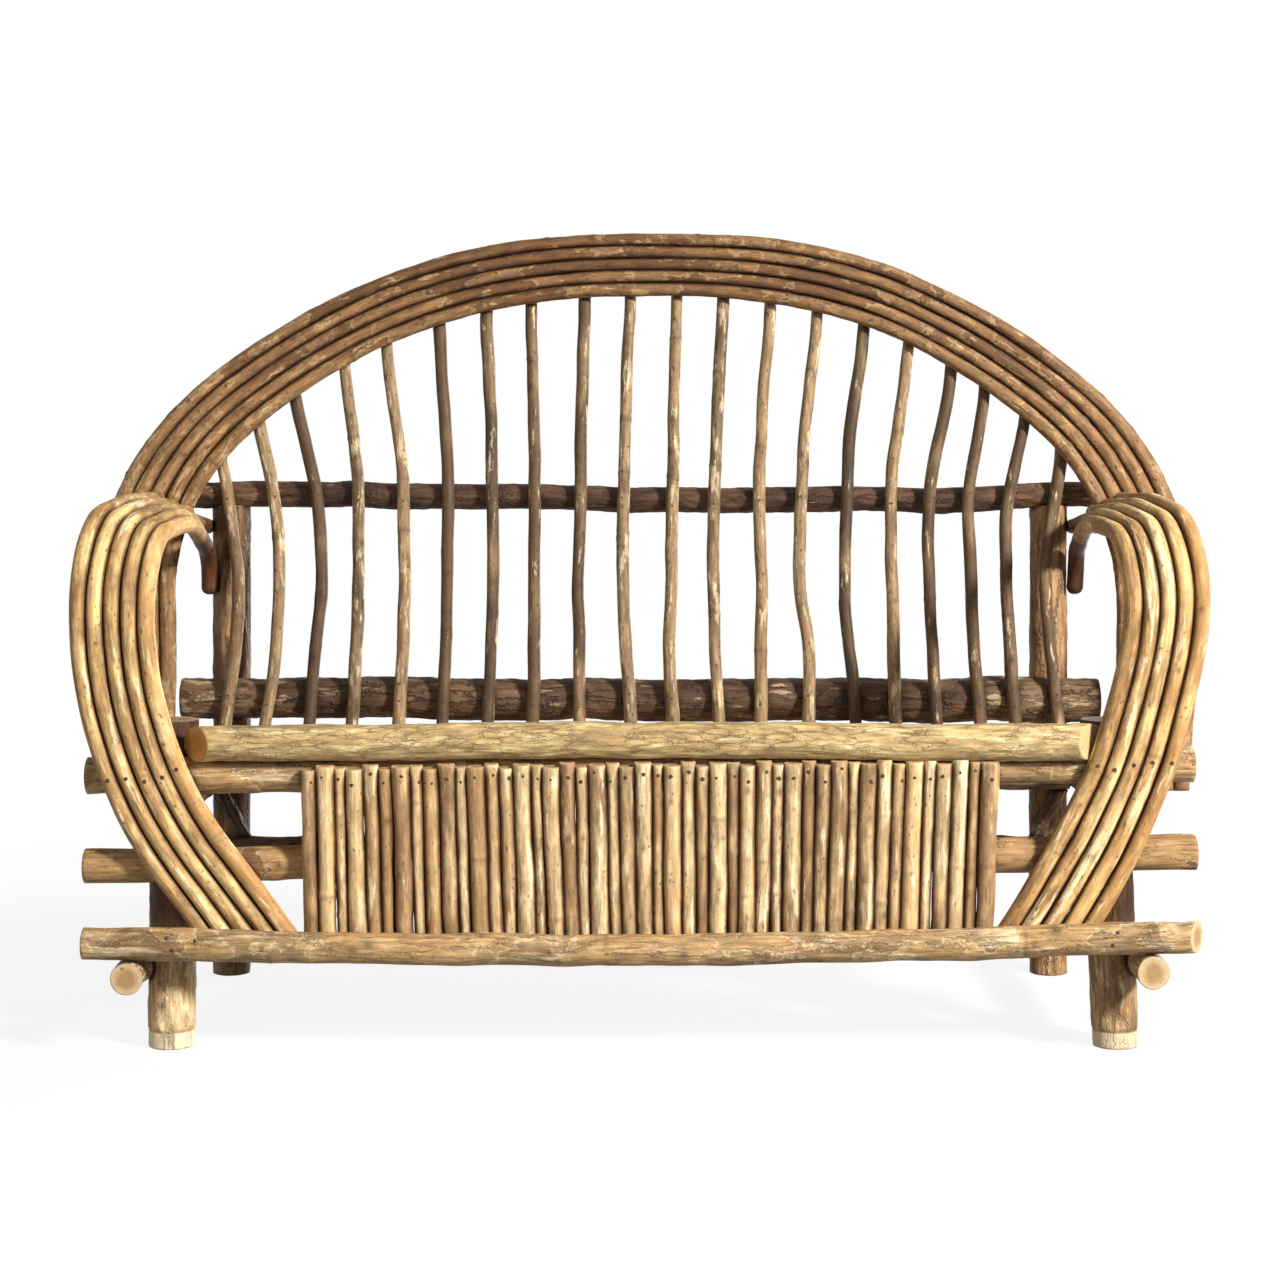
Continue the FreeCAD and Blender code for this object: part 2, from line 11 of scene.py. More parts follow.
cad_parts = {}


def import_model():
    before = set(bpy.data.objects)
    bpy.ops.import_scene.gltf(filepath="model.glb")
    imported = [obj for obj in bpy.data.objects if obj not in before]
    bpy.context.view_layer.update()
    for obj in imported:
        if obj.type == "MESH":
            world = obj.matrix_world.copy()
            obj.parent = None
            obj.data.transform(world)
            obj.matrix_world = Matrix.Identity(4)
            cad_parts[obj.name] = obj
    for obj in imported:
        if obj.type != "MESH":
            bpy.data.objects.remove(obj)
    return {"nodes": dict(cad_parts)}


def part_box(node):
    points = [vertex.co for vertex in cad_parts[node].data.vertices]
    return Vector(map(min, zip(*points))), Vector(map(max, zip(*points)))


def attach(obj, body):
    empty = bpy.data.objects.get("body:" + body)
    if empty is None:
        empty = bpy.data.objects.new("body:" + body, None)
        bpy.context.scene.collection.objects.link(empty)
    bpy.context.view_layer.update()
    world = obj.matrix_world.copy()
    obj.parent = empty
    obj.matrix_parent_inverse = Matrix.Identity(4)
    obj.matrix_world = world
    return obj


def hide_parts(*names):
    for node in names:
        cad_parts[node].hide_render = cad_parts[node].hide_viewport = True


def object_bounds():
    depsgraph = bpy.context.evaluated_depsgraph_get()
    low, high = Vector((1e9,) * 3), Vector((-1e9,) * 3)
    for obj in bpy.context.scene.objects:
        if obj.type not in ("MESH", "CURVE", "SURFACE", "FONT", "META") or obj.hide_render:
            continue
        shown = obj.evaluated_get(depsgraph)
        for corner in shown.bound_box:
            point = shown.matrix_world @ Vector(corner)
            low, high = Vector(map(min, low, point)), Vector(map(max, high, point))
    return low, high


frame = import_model()
cad_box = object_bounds()

# A porch sofa of unpeeled poles and bent rods, in metres. Every pole's axis and thickness are read
# from the frame, and the pole is rebuilt there with its swellings, knots, scars and sawn ends.

# Reading the axes
WELD = 1e-5
STRIDE = 0.006
NUDGE = 0.001  # into the pole, to look across it from its wall
FEELERS = 12
SQUARE_WALL = 0.25  # a wall leans less than this towards the axis, a sawn end more

# Mesh
WALL, FIRST_END, LAST_END = range(3)  # sorts of faces, in the order of a finish's materials
SPACING = 0.005  # between rings along a pole
LEAST_STEPS = 4
SIDES = 24
RAIL_SIDES = 40
LOG_SIDES = 48
EDGE_ROUND = 0.0012  # rounding of a sawn edge
EDGE_DROP = 0.0007  # the rim lies this far behind the sawn face
CAP_RING = 0.55  # a sawn end's inner ring, as a share of its outer one
CAP_SHADE_SHARE = 0.5  # how much of the painted shade goes round to a sawn end
SLANT_REACH = 3.0  # radii over which a slanted end is drawn out
THIN_REACH = 0.3  # length over which a thin end gets its full thickness
BLUNT_SHARE = 0.8  # how much of its section a worn end loses
WANDER_FADE = 0.03  # length over which an end comes back to its axis
GRAIN_SHIFT = 20  # poles take their grain from places up to this far off

# Waves along a pole, the longest and the shortest
WANDER_WAVES = (0.4, 0.08)
SWELL_WAVES = (0.35, 0.06)
LOBE_WAVES = (0.8, 0.2)
ROUGH_WAVES = (0.12, 0.03)
WAVE_COUNT = 5
WAVE_FALL = 0.7  # how fast the waves get lower as they get shorter
WAVE_STRAY = (0.8, 1.2)
WAVE_PEAK = 1.6

# Lobes, knots and rings of a pole
LOBES = (2, 3, 5)
LOBE_TURN = 2
ROUGH_COUNT = 14
ROUGH_LOBES = (4, 13)
ROUGH_TURN = 30
ROUGH_SHARE = 0.25
END_CLEAR = 0.03  # knots and rings stay this far from the ends
SHORTEST_SPAN = 0.04
KNOT_DRAW = 1.25  # knots are longer along the pole by this
KNOT_SIZES = (0.5, 1.4)
KNOT_RISES = (0.4, 1.6)
KNOT_PIT = (0.9, 3)  # depth and sharpness of the pit in a knot
KNOT_STAIN = (1.0, 1.6)  # strength and sharpness of its dark mark
GROWTH_PIT = (0.6, 5)  # the same for the knots that stand out
GROWTH_STAIN = (0.8, 4)
GROWTH_NEAR = 0.011  # they are on the poles that come this close
RING_SLOPE = 0.0018
RING_WIDTHS = (0.0025, 0.005)
RING_RISES = (0.3, 1.6)
RING_LINE = 2  # its dark line is narrower by this

# Small leans and lengths that the solids leave out
ARCH_BULGE_LEFT = 0.011
ARCH_BULGE_RIGHT = 0.023
ARCH_BULGE_X = (0.0, 0.4)
ARCH_BULGE_RISE = 0.3
ARCH_LOW_LEFT = 0.45  # height up to which the leg stays in its place
ARCH_LOW_RIGHT = 0.25
ARCH_FOCUS = np.array((0.0, 0.0, 0.60))
SPLAT_EASE = 0.2  # length over which a splat's top follows the arch
SKIRT_LEAN = 0.007  # the feet of the sticks stand to the right by this
SKIRT_LEAN_AT = -0.2  # where they do so most
SKIRT_LEAN_TURN = 0.62  # from there to where they stand to the left
SKIRT_REACH = 0.006  # the sticks go up behind the seat log by this
ARM_FOOT_REACH = 0.012  # the arm rods go down behind the bottom rail by this
SEAT_LOG_REACH = 0.009  # the seat log's right end goes in behind the arm by this

# How far poles lie off their solids, along which axis, and over which spans that comes in
X, Y, Z = range(3)
LEANS = (
    ("seat_front_log", Z, 0.006, ()),
    ("seat_front_log", Z, -0.010, ((X, -0.1, 0.6),)),
    ("front_top_rail", Z, 0.0018, ()),
    ("back_seat_log", Z, -0.003, ((X, -0.45, 0.0),)),
    ("back_upper_rail", Z, -0.0075, ((X, -0.45, 0.1), (X, 0.66, 0.45))),
    ("front_post_left", X, -0.006, ((Z, 0.25, 0.0),)),
    ("front_post_right", X, 0.015, ((Z, 0.25, 0.0),)),
    ("arm_rod_left_1", X, 0.010, ((Z, 0.71, 0.62), (Y, 0.0, 0.1))),
    ("arm_rod_left_1", Y, -0.010, ((Z, 0.71, 0.62), (Y, 0.0, 0.1))),
    ("arm_rod_right", X, -0.014, ((Z, 0.63, 0.44), (Z, 0.16, 0.35))),
)

# Posts
FOOT_BAND = 0.024  # debarked foot below the saw mark
FOOT_STEP = 0.0013
BAND_EDGE = 0.001
KERF_DEPTH = 0.0016
KERF_WIDTH = 0.0012

# Painted shade where poles nearly touch
CREASE_OPEN = 0.0080  # gap at which a crease gets no painted shade
CREASE_SHUT = 0.0018  # gap at which it is dark
CREASE_STEP = 0.006  # between the axis points of the neighbours
CREASE_MARGIN = 0.05  # neighbours are looked for this far round a pole
GIRTH_SLACK = 1.3  # for rings that are out of round

# Tones and painted shade over a pole, and where along x, y or z they change
LIGHT_RANGE = (0.1, 0.9)
BACK_LIGHT = 0.35  # the back log and the upper rail, which get lighter at their ends
BACK_LEFT_X = (-0.5, -0.64)
BACK_RIGHT_X = (0.5, 0.62)
BACK_RIGHT_SHARE = 0.7
ARCH_LIGHT = 0.2
ARCH_OWN_LIGHT = 0.25  # how much a rod's own lightness adds
ARCH_LEG_LIGHT = 0.65  # how much its legs are lighter
ARCH_LEG_Z = (1.05, 0.75)
ARM_TOP_SHADE = 0.4  # painted shade on the arms' tops towards the back
ARM_TOP_Y = (-0.18, 0.08)
# Painted shade on the curled back ends of the inner arm rods
HOOK_Y = (0.04, 0.1)
HOOK_Z = (0.74, 0.67)
# Painted shade on the second arm rods towards the back
SECOND_ROD_Y = (0.02, 0.14)
RIGHT_POST_DUSK = 0.3
# Painted shade on the front posts from this height up
POST_SHADE_Z = (0.1, 0.2)

# Nails
NAIL_R = 0.0028
BRAD_R = 0.0017  # the nails in the splats
SKIRT_NAIL_R = 0.0023
NAIL_PROUD = 0.0006
NAIL_SINK = 0.0012
NAIL_SIDES = 12
# Rows of points on a head: share of the radius, height
NAIL_ROWS = ((1.0, -NAIL_SINK), (1.0, 0.3 * NAIL_PROUD), (0.75, 0.8 * NAIL_PROUD))
NAIL_UNEVEN = (0.8, 1.25)
NAIL_START = 0.1  # a line to a nail starts this far in front of the sofa
SKIRT_NAIL_DROP = 0.018  # below the top of the stick
SKIRT_NAIL_STRAY = (0.002, 0.004)
SKIRT_NAIL_SIZES = (0.7, 1.25)
ARM_NAIL_UP = (0.006, 0.005)  # above the rail's axis, and how much that strays
ARM_NAIL_STRAY = 0.001
ARM_FRONT_TOP = 0.05  # above the rail's axis
SPLAT_NAIL_STRAY = (0.0015, 0.006)
BACK_LOG_Z = 0.430
BACK_RAIL_Z = 0.739
# Across the sofa and above the rail's axis
BOTTOM_NAILS = ((-0.626, 0.012), (-0.618, -0.003), (-0.588, 0.009), (0.624, -0.004), (0.631, 0.012))

# Floor and light
FLOOR_HALF = 12.0
FLOOR_GREY = 0.9
FLOOR_BOUNCE = 0.32  # for light that the floor throws back up
FLOOR_GLOW = 0.88  # share of plain white near the sofa, which softens the shadow
FLOOR_FADE = (0.9, 2.2)  # distances between which the floor turns white
WHITE = (1, 1, 1, 1)
AMBIENT = 0.095
AMBIENT_TINT = (1, 0.9, 0.76, 1)
LAMP_TARGET = (0, 0, 0.5)
LAMPS = (("key", (4.0, -3.85, 3.2), 0.75, 725),  # name, place, size and watts
         ("fill", (-2.3, -3.2, 1.5), 1.6, 30),
         ("back", (1.6, 3.1, 0.75), 1.2, 95))

# Camera, from the photograph's horizon and the sofa's size in it
PHOTO_SIZE = 1280
FOCAL_PX = 2486
HORIZON_PX = 440
SENSOR_MM = 36
CAMERA_AT = (0.0, -3.586, 0.824)

rng = np.random.default_rng(1502)


# Axes

def islands(faces):
    """Groups of faces that hang together."""
    left = set(faces)
    groups = []
    for first in faces:
        if first not in left:
            continue
        left.discard(first)
        group = [first]
        for face in group:
            for edge in face.edges:
                for other in edge.link_faces:
                    if other in left:
                        left.discard(other)
                        group.append(other)
        groups.append(group)
    return groups


def search_tree(group):
    index = {v: k for k, v in enumerate(dict.fromkeys(v for face in group for v in face.verts))}
    return BVHTree.FromPolygons([v.co for v in index], [[index[v] for v in face.verts] for face in group])


def all_round(way, count):
    """Directions all round a way and square to it."""
    side = way.orthogonal().normalized()
    up = way.cross(side)
    turns = [math.tau * k / count for k in range(count)]
    return [side * math.cos(turn) + up * math.sin(turn) for turn in turns]


def wall_hits(tree, inside, heading):
    """Points and normals of a pole's wall all round a point inside it."""
    return [tree.ray_cast(inside, spoke)[:2] for spoke in all_round(heading, FEELERS)]


def along_walls(normals, heading):
    """The direction that is most square to the walls, on the heading's side."""
    way = Vector(np.linalg.svd(np.array(normals))[2][-1])
    return way if way.dot(heading) > 0 else -way


def walk(tree, start, heading, radius):
    """Points along the axis from a point on it to the pole's end, and the way that the end faces."""
    here = start
    points = []
    while True:
        end, facing, _, distance = tree.ray_cast(here, heading)
        if distance < 2 * STRIDE:
            points.append(end)
            return points, facing
        here = here + heading * STRIDE
        for _ in range(2):
            walls = [(p, n) for p, n in wall_hits(tree, here, heading) if abs(n.dot(heading)) < SQUARE_WALL]
            if len(walls) > FEELERS // 2:
                here = sum((p - n * radius for p, n in walls), Vector()) / len(walls)
                heading = along_walls([n for _, n in walls], heading)
        points.append(here)


def axis_of(group):
    """Axis points, radius and end facings of one pole, read from its faces."""
    tree = search_tree(group)
    face = max(group, key=lambda f: max(e.calc_length() for e in f.edges))
    wall = face.calc_center_median()
    inward = -face.normal
    opposite, _, _, width = tree.ray_cast(wall + inward * NUDGE, inward)
    start = (wall + opposite) / 2
    longest = max(face.edges, key=lambda e: e.calc_length())
    heading = (longest.verts[1].co - longest.verts[0].co).normalized()
    heading = along_walls([n for _, n in wall_hits(tree, start, heading)], heading)
    radius = (width + NUDGE) / 2
    forward, front_facing = walk(tree, start, heading, radius)
    backward, back_facing = walk(tree, start, -heading, radius)
    points = backward[::-1] + [start] + forward
    facings = [back_facing, front_facing]
    if sum(points[0]) > sum(points[-1]):
        points.reverse()
        facings.reverse()
    return np.array(points), radius, [np.array(f) for f in facings]


def axes_of(node):
    """Axes of all the poles of a node, from left to right."""
    bm = bmesh.new()
    bm.from_mesh(frame["nodes"][node].data)
    bmesh.ops.remove_doubles(bm, verts=bm.verts, dist=WELD)
    bm.faces.ensure_lookup_table()
    found = [axis_of(group) for group in islands(list(bm.faces))]
    bm.free()
    return sorted(found, key=lambda axis: axis[0][0][0])


def post_axis(node):
    """A post stands upright, so its box gives its axis."""
    low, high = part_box(node)
    centre = (low + high) / 2
    points = np.array([(centre.x, centre.y, low.z), (centre.x, centre.y, high.z)])
    return points, (high.x - low.x) / 2, [np.array((0, 0, -1.0)), np.array((0, 0, 1.0))]


# Poles

def placed(name, data):
    """A new object in the scene."""
    made = bpy.data.objects.new(name, data)
    bpy.context.scene.collection.objects.link(made)
    return made


def resampled(points, spacing):
    """The same line with even steps."""
    steps = np.linalg.norm(np.diff(points, axis=0), axis=1)
    along = np.concatenate(([0], np.cumsum(steps)))
    count = max(LEAST_STEPS, int(round(along[-1] / spacing)))
    even = np.linspace(0, along[-1], count + 1)
    return np.stack([np.interp(even, along, points[:, k]) for k in range(3)], axis=1), even


def unit(rows):
    return rows / np.linalg.norm(rows, axis=-1, keepdims=True)


def frames_along(points):
    """Tangents and two side directions that turn as little as they can along the line."""
    tangents = unit(np.gradient(points, axis=0))
    side = np.array(Vector(tangents[0]).orthogonal().normalized())
    sides = []
    for tangent in tangents:
        side = side - tangent * side.dot(tangent)
        side = side / np.linalg.norm(side)
        sides.append(side)
    sides = np.array(sides)
    return tangents, sides, np.cross(tangents, sides)


def ripple(along, waves):
    """A wandering value along a pole, between about -1 and 1."""
    longest, shortest = waves
    value = np.zeros_like(along)
    for length in np.geomspace(longest, shortest, WAVE_COUNT):
        share = (length / longest) ** WAVE_FALL
        value += share * np.sin(math.tau * (along / (length * rng.uniform(*WAVE_STRAY)) + rng.uniform()))
    return value / WAVE_PEAK


def eased(share):
    return share * share * (3 - 2 * share)


def ramp(values, low, high):
    """0 at low and 1 at high, eased."""
    return eased(np.clip((values - low) / (high - low), 0, 1))


def scatter(length, per_metre):
    """Places along a pole, a given number to the metre on average."""
    last = max(SHORTEST_SPAN, length - END_CLEAR)
    return rng.uniform(END_CLEAR, last, rng.poisson(per_metre * length))


@dataclass
class Look:
    """How a kind of pole departs from a plain round bar; lengths in metres."""

    wander: float = 0.0006
    swell: float = 0.012
    out_of_round: float = 0.015
    knots: float = 5  # to the metre
    knot_size: float = 0.005
    knot_rise: float = 0.0008
    rings: float = 4  # to the metre
    ring_rise: float = 0.0004
    taper: float = 0.03
    rough: float = 0.0
    fat: float = 1.0  # thickness, where the solid's is 1
    leg_fat: float = 0.0  # how much thicker a pole is where it stands upright
    thin_end: float = 0.0  # how much thinner a pole is at its ends
    grow: float = 0.0  # how much thicker it gets from its first end to its last
    blunt: float = 0.0  # length over which its ends are worn round
    sides: int = SIDES
    spacing: float = SPACING


def reach_from(s, a, radius, place, angle, size):
    """Squared distance from the middle of a mark on a pole, where the mark's size is 1."""
    around = (a - angle + math.pi) % math.tau - math.pi
    return ((s - place) / (KNOT_DRAW * size)) ** 2 + (around * radius / size) ** 2


def mound(reach, pit):
    """Height over a knot with a pit in its middle."""
    depth, sharpness = pit
    return np.exp(-reach / 2) - depth * np.exp(-reach * sharpness)


def stain(reach, mark):
    """Darkness over a knot."""
    strength, sharpness = mark
    return strength * np.exp(-reach * sharpness)


def surface(along, angles, radius, look, growths):
    """Radius, knot mask and ring mask over a pole's length and girth."""
    s = along[:, None]
    a = angles[None, :]
    length = along[-1]
    r = radius * (1 + look.swell * ripple(along, SWELL_WAVES))[:, None] * np.ones_like(a)
    r = r * (1 + look.taper * rng.choice((-1, 1)) * (0.5 - s / length))
    for lobes in LOBES:
        phase = LOBE_TURN * ripple(along, LOBE_WAVES)[:, None] + rng.uniform(0, math.tau)
        r = r + radius * look.out_of_round / lobes * np.sin(lobes * a + phase)
    if look.rough:
        for _ in range(ROUGH_COUNT):
            lobes = rng.integers(*ROUGH_LOBES)
            turns = rng.normal(0, ROUGH_TURN)
            bend = LOBE_TURN * ripple(along, ROUGH_WAVES)[:, None]
            r = r + ROUGH_SHARE * look.rough * np.sin(lobes * a + turns * s + bend)
    knot = np.zeros_like(r)
    for place in scatter(length, look.knots):
        size = look.knot_size * rng.uniform(*KNOT_SIZES)
        reach = reach_from(s, a, radius, place, rng.uniform(0, math.tau), size)
        r = r + look.knot_rise * rng.uniform(*KNOT_RISES) * mound(reach, KNOT_PIT)
        knot = np.maximum(knot, stain(reach, KNOT_STAIN))
    for place, angle, size, rise in growths:
        reach = reach_from(s, a, radius, place, angle, size)
        r = r + rise * mound(reach, GROWTH_PIT)
        knot = np.maximum(knot, stain(reach, GROWTH_STAIN))
    ring = np.zeros_like(r)
    for place in scatter(length, look.rings):
        slope = rng.normal(0, RING_SLOPE)
        tilt = slope * np.cos(a + rng.uniform(0, math.tau))
        line = (s - place - tilt) / rng.uniform(*RING_WIDTHS)
        r = r + look.ring_rise * rng.uniform(*RING_RISES) * np.exp(-line ** 2)
        ring = np.maximum(ring, np.exp(-(RING_LINE * line) ** 2))
    return r, knot, ring


class Crowd:
    """The axes of all the poles, to find how close a point is to its neighbours for the painted shade in each
    crease.
    """

    def __init__(self, poles):
        lines = [(self.inner(points, radius), radius) for points, radius in poles]
        self.points = np.concatenate([line for line, _ in lines])
        self.radii = np.concatenate([np.full(len(line), radius) for line, radius in lines])
        self.owners = np.concatenate([np.full(len(line), k) for k, (line, _) in enumerate(lines)])

    def inner(self, points, radius):
        """An axis without its ends, so that a ball of the radius stays inside the pole."""
        even, along = resampled(points, CREASE_STEP)
        return even[(along >= radius) & (along <= along[-1] - radius)]

    def crease_shade(self, owner, places):
        """Painted shade where a neighbour comes close: 0 on open wood, 1 where a neighbour is about to touch.
        """
        low = places.min(axis=(0, 1)) - CREASE_MARGIN
        high = places.max(axis=(0, 1)) + CREASE_MARGIN
        near = (self.owners != owner) & np.all((self.points > low) & (self.points < high), axis=1)
        dark = np.zeros(places.shape[:2])
        if not near.any():
            return dark
        points = self.points[near]
        radii = self.radii[near]
        tree = KDTree(len(points))
        for k, point in enumerate(points):
            tree.insert(point, k)
        tree.balance()
        reach = radii.max() + CREASE_OPEN
        for i, row in enumerate(places):
            middle = row.mean(axis=0)
            girth = np.linalg.norm(row[0] - middle)
            if tree.find(middle)[2] > reach + GIRTH_SLACK * girth:
                continue
            for j, place in enumerate(row):
                _, k, distance = tree.find(place)
                dark[i, j] = (CREASE_OPEN - distance + radii[k]) / (CREASE_OPEN - CREASE_SHUT)
        return eased(np.clip(dark, 0, 1))


def band(low, high, sides):
    """Faces between two rings of points."""
    return [(low + j, low + (j + 1) % sides, high + (j + 1) % sides, high + j) for j in range(sides)]


def fan(low, hub, sides):
    """Faces between a ring and a middle point."""
    return [(low + j, low + (j + 1) % sides, hub) for j in range(sides)]


class Poles:
    """Collects the poles of one piece into a mesh."""

    def __init__(self):
        self.rows = {word: [] for word in ("places", "grain", "marks", "tone")}
        self.faces = []
        self.sorts = []

    def count(self):
        return sum(len(p) for p in self.rows["places"])

    def add_rows(self, *columns):
        for rows, column in zip(self.rows.values(), columns):
            rows.append(column.reshape(-1, 3))

    def add_faces(self, faces, sort):
        self.faces += faces
        self.sorts += [sort] * len(faces)

    def add(self, owner, axis, look, tint, growths, bare_foot):
        """A pole along an axis; bare_foot is the length of its debarked foot."""
        points, radius, facings = axis
        points, along = resampled(points, look.spacing)
        tangents, sides, ups = frames_along(points)
        to_end = np.minimum(along, along[-1] - along)
        fade = np.clip(to_end / WANDER_FADE, 0, 1)
        points = points + sides * (look.wander * fade * ripple(along, WANDER_WAVES))[:, None]
        points = points + ups * (look.wander * fade * ripple(along, WANDER_WAVES))[:, None]
        angles = np.arange(look.sides) * math.tau / look.sides
        spots = [self.spot(points, along, sides, ups, *growth) for growth in growths]
        r, knot, ring = surface(along, angles, radius * look.fat, look, spots)
        r = r * (1 + look.leg_fat * (1 - tangents[:, :1] ** 2))
        r = r * (1 - look.thin_end * (1 - ramp(to_end, 0.0, THIN_REACH)))[:, None]
        r = r * (1 + look.grow * along / along[-1])[:, None]
        if look.blunt:
            worn = 1 - np.clip(to_end / look.blunt, 0, 1)
            r = r * np.sqrt(1 - BLUNT_SHARE * worn ** 2)[:, None]
        bare = np.zeros_like(r)
        if bare_foot:
            below = np.clip((bare_foot - along) / BAND_EDGE, 0, 1)[:, None]
            kerf = np.exp(-((along - bare_foot) / KERF_WIDTH) ** 2)[:, None]
            r = r - FOOT_STEP * below - KERF_DEPTH * kerf
            bare = below * np.ones_like(r)
            ring = np.maximum(ring, kerf)
        spokes = sides[:, None] * np.cos(angles)[None, :, None] + ups[:, None] * np.sin(angles)[None, :, None]
        places = points[:, None] + spokes * r[..., None]
        self.draw_out_ends(places, along, points, tangents, facings, radius)
        places[0] -= facings[0] * EDGE_DROP
        places[-1] -= facings[1] * EDGE_DROP
        grain = np.stack([r * np.cos(angles), r * np.sin(angles), along[:, None] * np.ones_like(r)], axis=-1)
        shift = rng.uniform(-GRAIN_SHIFT, GRAIN_SHIFT, 3)
        marks = np.stack([knot, ring, bare], axis=-1)
        tones = tint(places)
        # Painted shade where poles nearly touch joins the third tone.
        tones[..., 2] = np.maximum(tones[..., 2], crowd.crease_shade(owner, places))
        first = self.count()
        self.add_rows(places, grain + shift, marks, tones)
        last = first + (len(along) - 1) * look.sides
        for low in range(first, last, look.sides):
            self.add_faces(band(low, low + look.sides, look.sides), WALL)
        for end, rim, sort in ((0, first, FIRST_END), (-1, last, LAST_END)):
            edge = places[end] + facings[end] * EDGE_DROP
            self.add_cap(rim, points[end], grain[end] + shift, shift, tones[end], edge, sort)

    def spot(self, points, along, sides, ups, z, x, size, rise):
        """A knot on the front of a pole, near a height and a place across the sofa."""
        k = int(np.argmin(np.abs(points[:, 2] - z) + np.abs(points[:, 0] - x)))
        return along[k], math.atan2(-ups[k][1], -sides[k][1]), size, rise

    def draw_out_ends(self, places, along, points, tangents, facings, radius):
        """Moves the last rings along the pole so that its ends lie in their sawn planes."""
        for end, facing, depth in ((0, facings[0], along), (-1, facings[1], along[-1] - along)):
            lean = tangents[end].dot(facing)
            shift = (points[end] - places[end]) @ facing / lean
            weight = np.clip(1 - depth / (SLANT_REACH * radius), 0, 1)
            places += weight[:, None, None] * shift[None, :, None] * tangents[end]

    def add_cap(self, rim, centre, grain, shift, tones, rim_places, sort):
        """A sawn end: a rounded edge, a ring part of the way in and a middle."""
        first = self.count()
        sides = len(rim_places)
        reach = np.linalg.norm(rim_places - centre, axis=1, keepdims=True)
        inset = 1 - EDGE_ROUND / reach
        # the sawn end takes part of the wall's painted shade
        cap_tones = tones * np.array((1, 1, CAP_SHADE_SHARE))
        for share in (inset, inset * CAP_RING):
            flat = np.concatenate([shift[:2] + (grain[:, :2] - shift[:2]) * share, grain[:, 2:]], axis=1)
            marks = np.concatenate([share, np.zeros((sides, 2))], axis=1)
            self.add_rows(centre + (rim_places - centre) * share, flat, marks, cap_tones)
        middle = np.array([[shift[0], shift[1], grain[0, 2]]])
        self.add_rows(centre[None], middle, np.zeros((1, 3)), tones[:1] * np.array((1, 1, 0)))
        hub = first + 2 * sides
        faces = band(rim, first, sides) + band(first, first + sides, sides) + fan(first + sides, hub, sides)
        self.add_faces(faces if sort == LAST_END else [face[::-1] for face in faces], sort)

    def piece(self, name, materials):
        mesh = bpy.data.meshes.new(name)
        mesh.from_pydata(np.concatenate(self.rows["places"]).tolist(), [], self.faces)
        for word in ("grain", "marks", "tone"):
            attribute = mesh.attributes.new(word, "FLOAT_VECTOR", "POINT")
            attribute.data.foreach_set("vector", np.concatenate(self.rows[word]).astype(np.float32).ravel())
        for material in materials:
            mesh.materials.append(material)
        sorts = np.array(self.sorts, dtype=np.int32)
        mesh.polygons.foreach_set("material_index", sorts)
        mesh.polygons.foreach_set("use_smooth", sorts == WALL)
        mesh.update()
        return placed(name, mesh)

    def wall(self):
        """A tree to find points on the walls."""
        return BVHTree.FromPolygons(np.concatenate(self.rows["places"]).tolist(), self.faces)


# Materials

def node_in(tree, kind, settings=None, **inputs):
    """Adds a shader node; an input is a value or another node's output."""
    made = tree.nodes.new("ShaderNode" + kind)
    for name, value in (settings or {}).items():
        setattr(made, name, value)
    for name, value in inputs.items():
        key = int(name[1:]) if name[0] == "_" else name.replace("_", " ")
        socket = made.inputs[key]
        if isinstance(value, bpy.types.NodeSocket):
            tree.links.new(value, socket)
        else:
            socket.default_value = value
    return made


def maths(tree, way, *values):
    """The output of a Math node."""
    return node_in(tree, "Math", {"operation": way}, **{f"_{k}": v for k, v in enumerate(values)}).outputs[0]


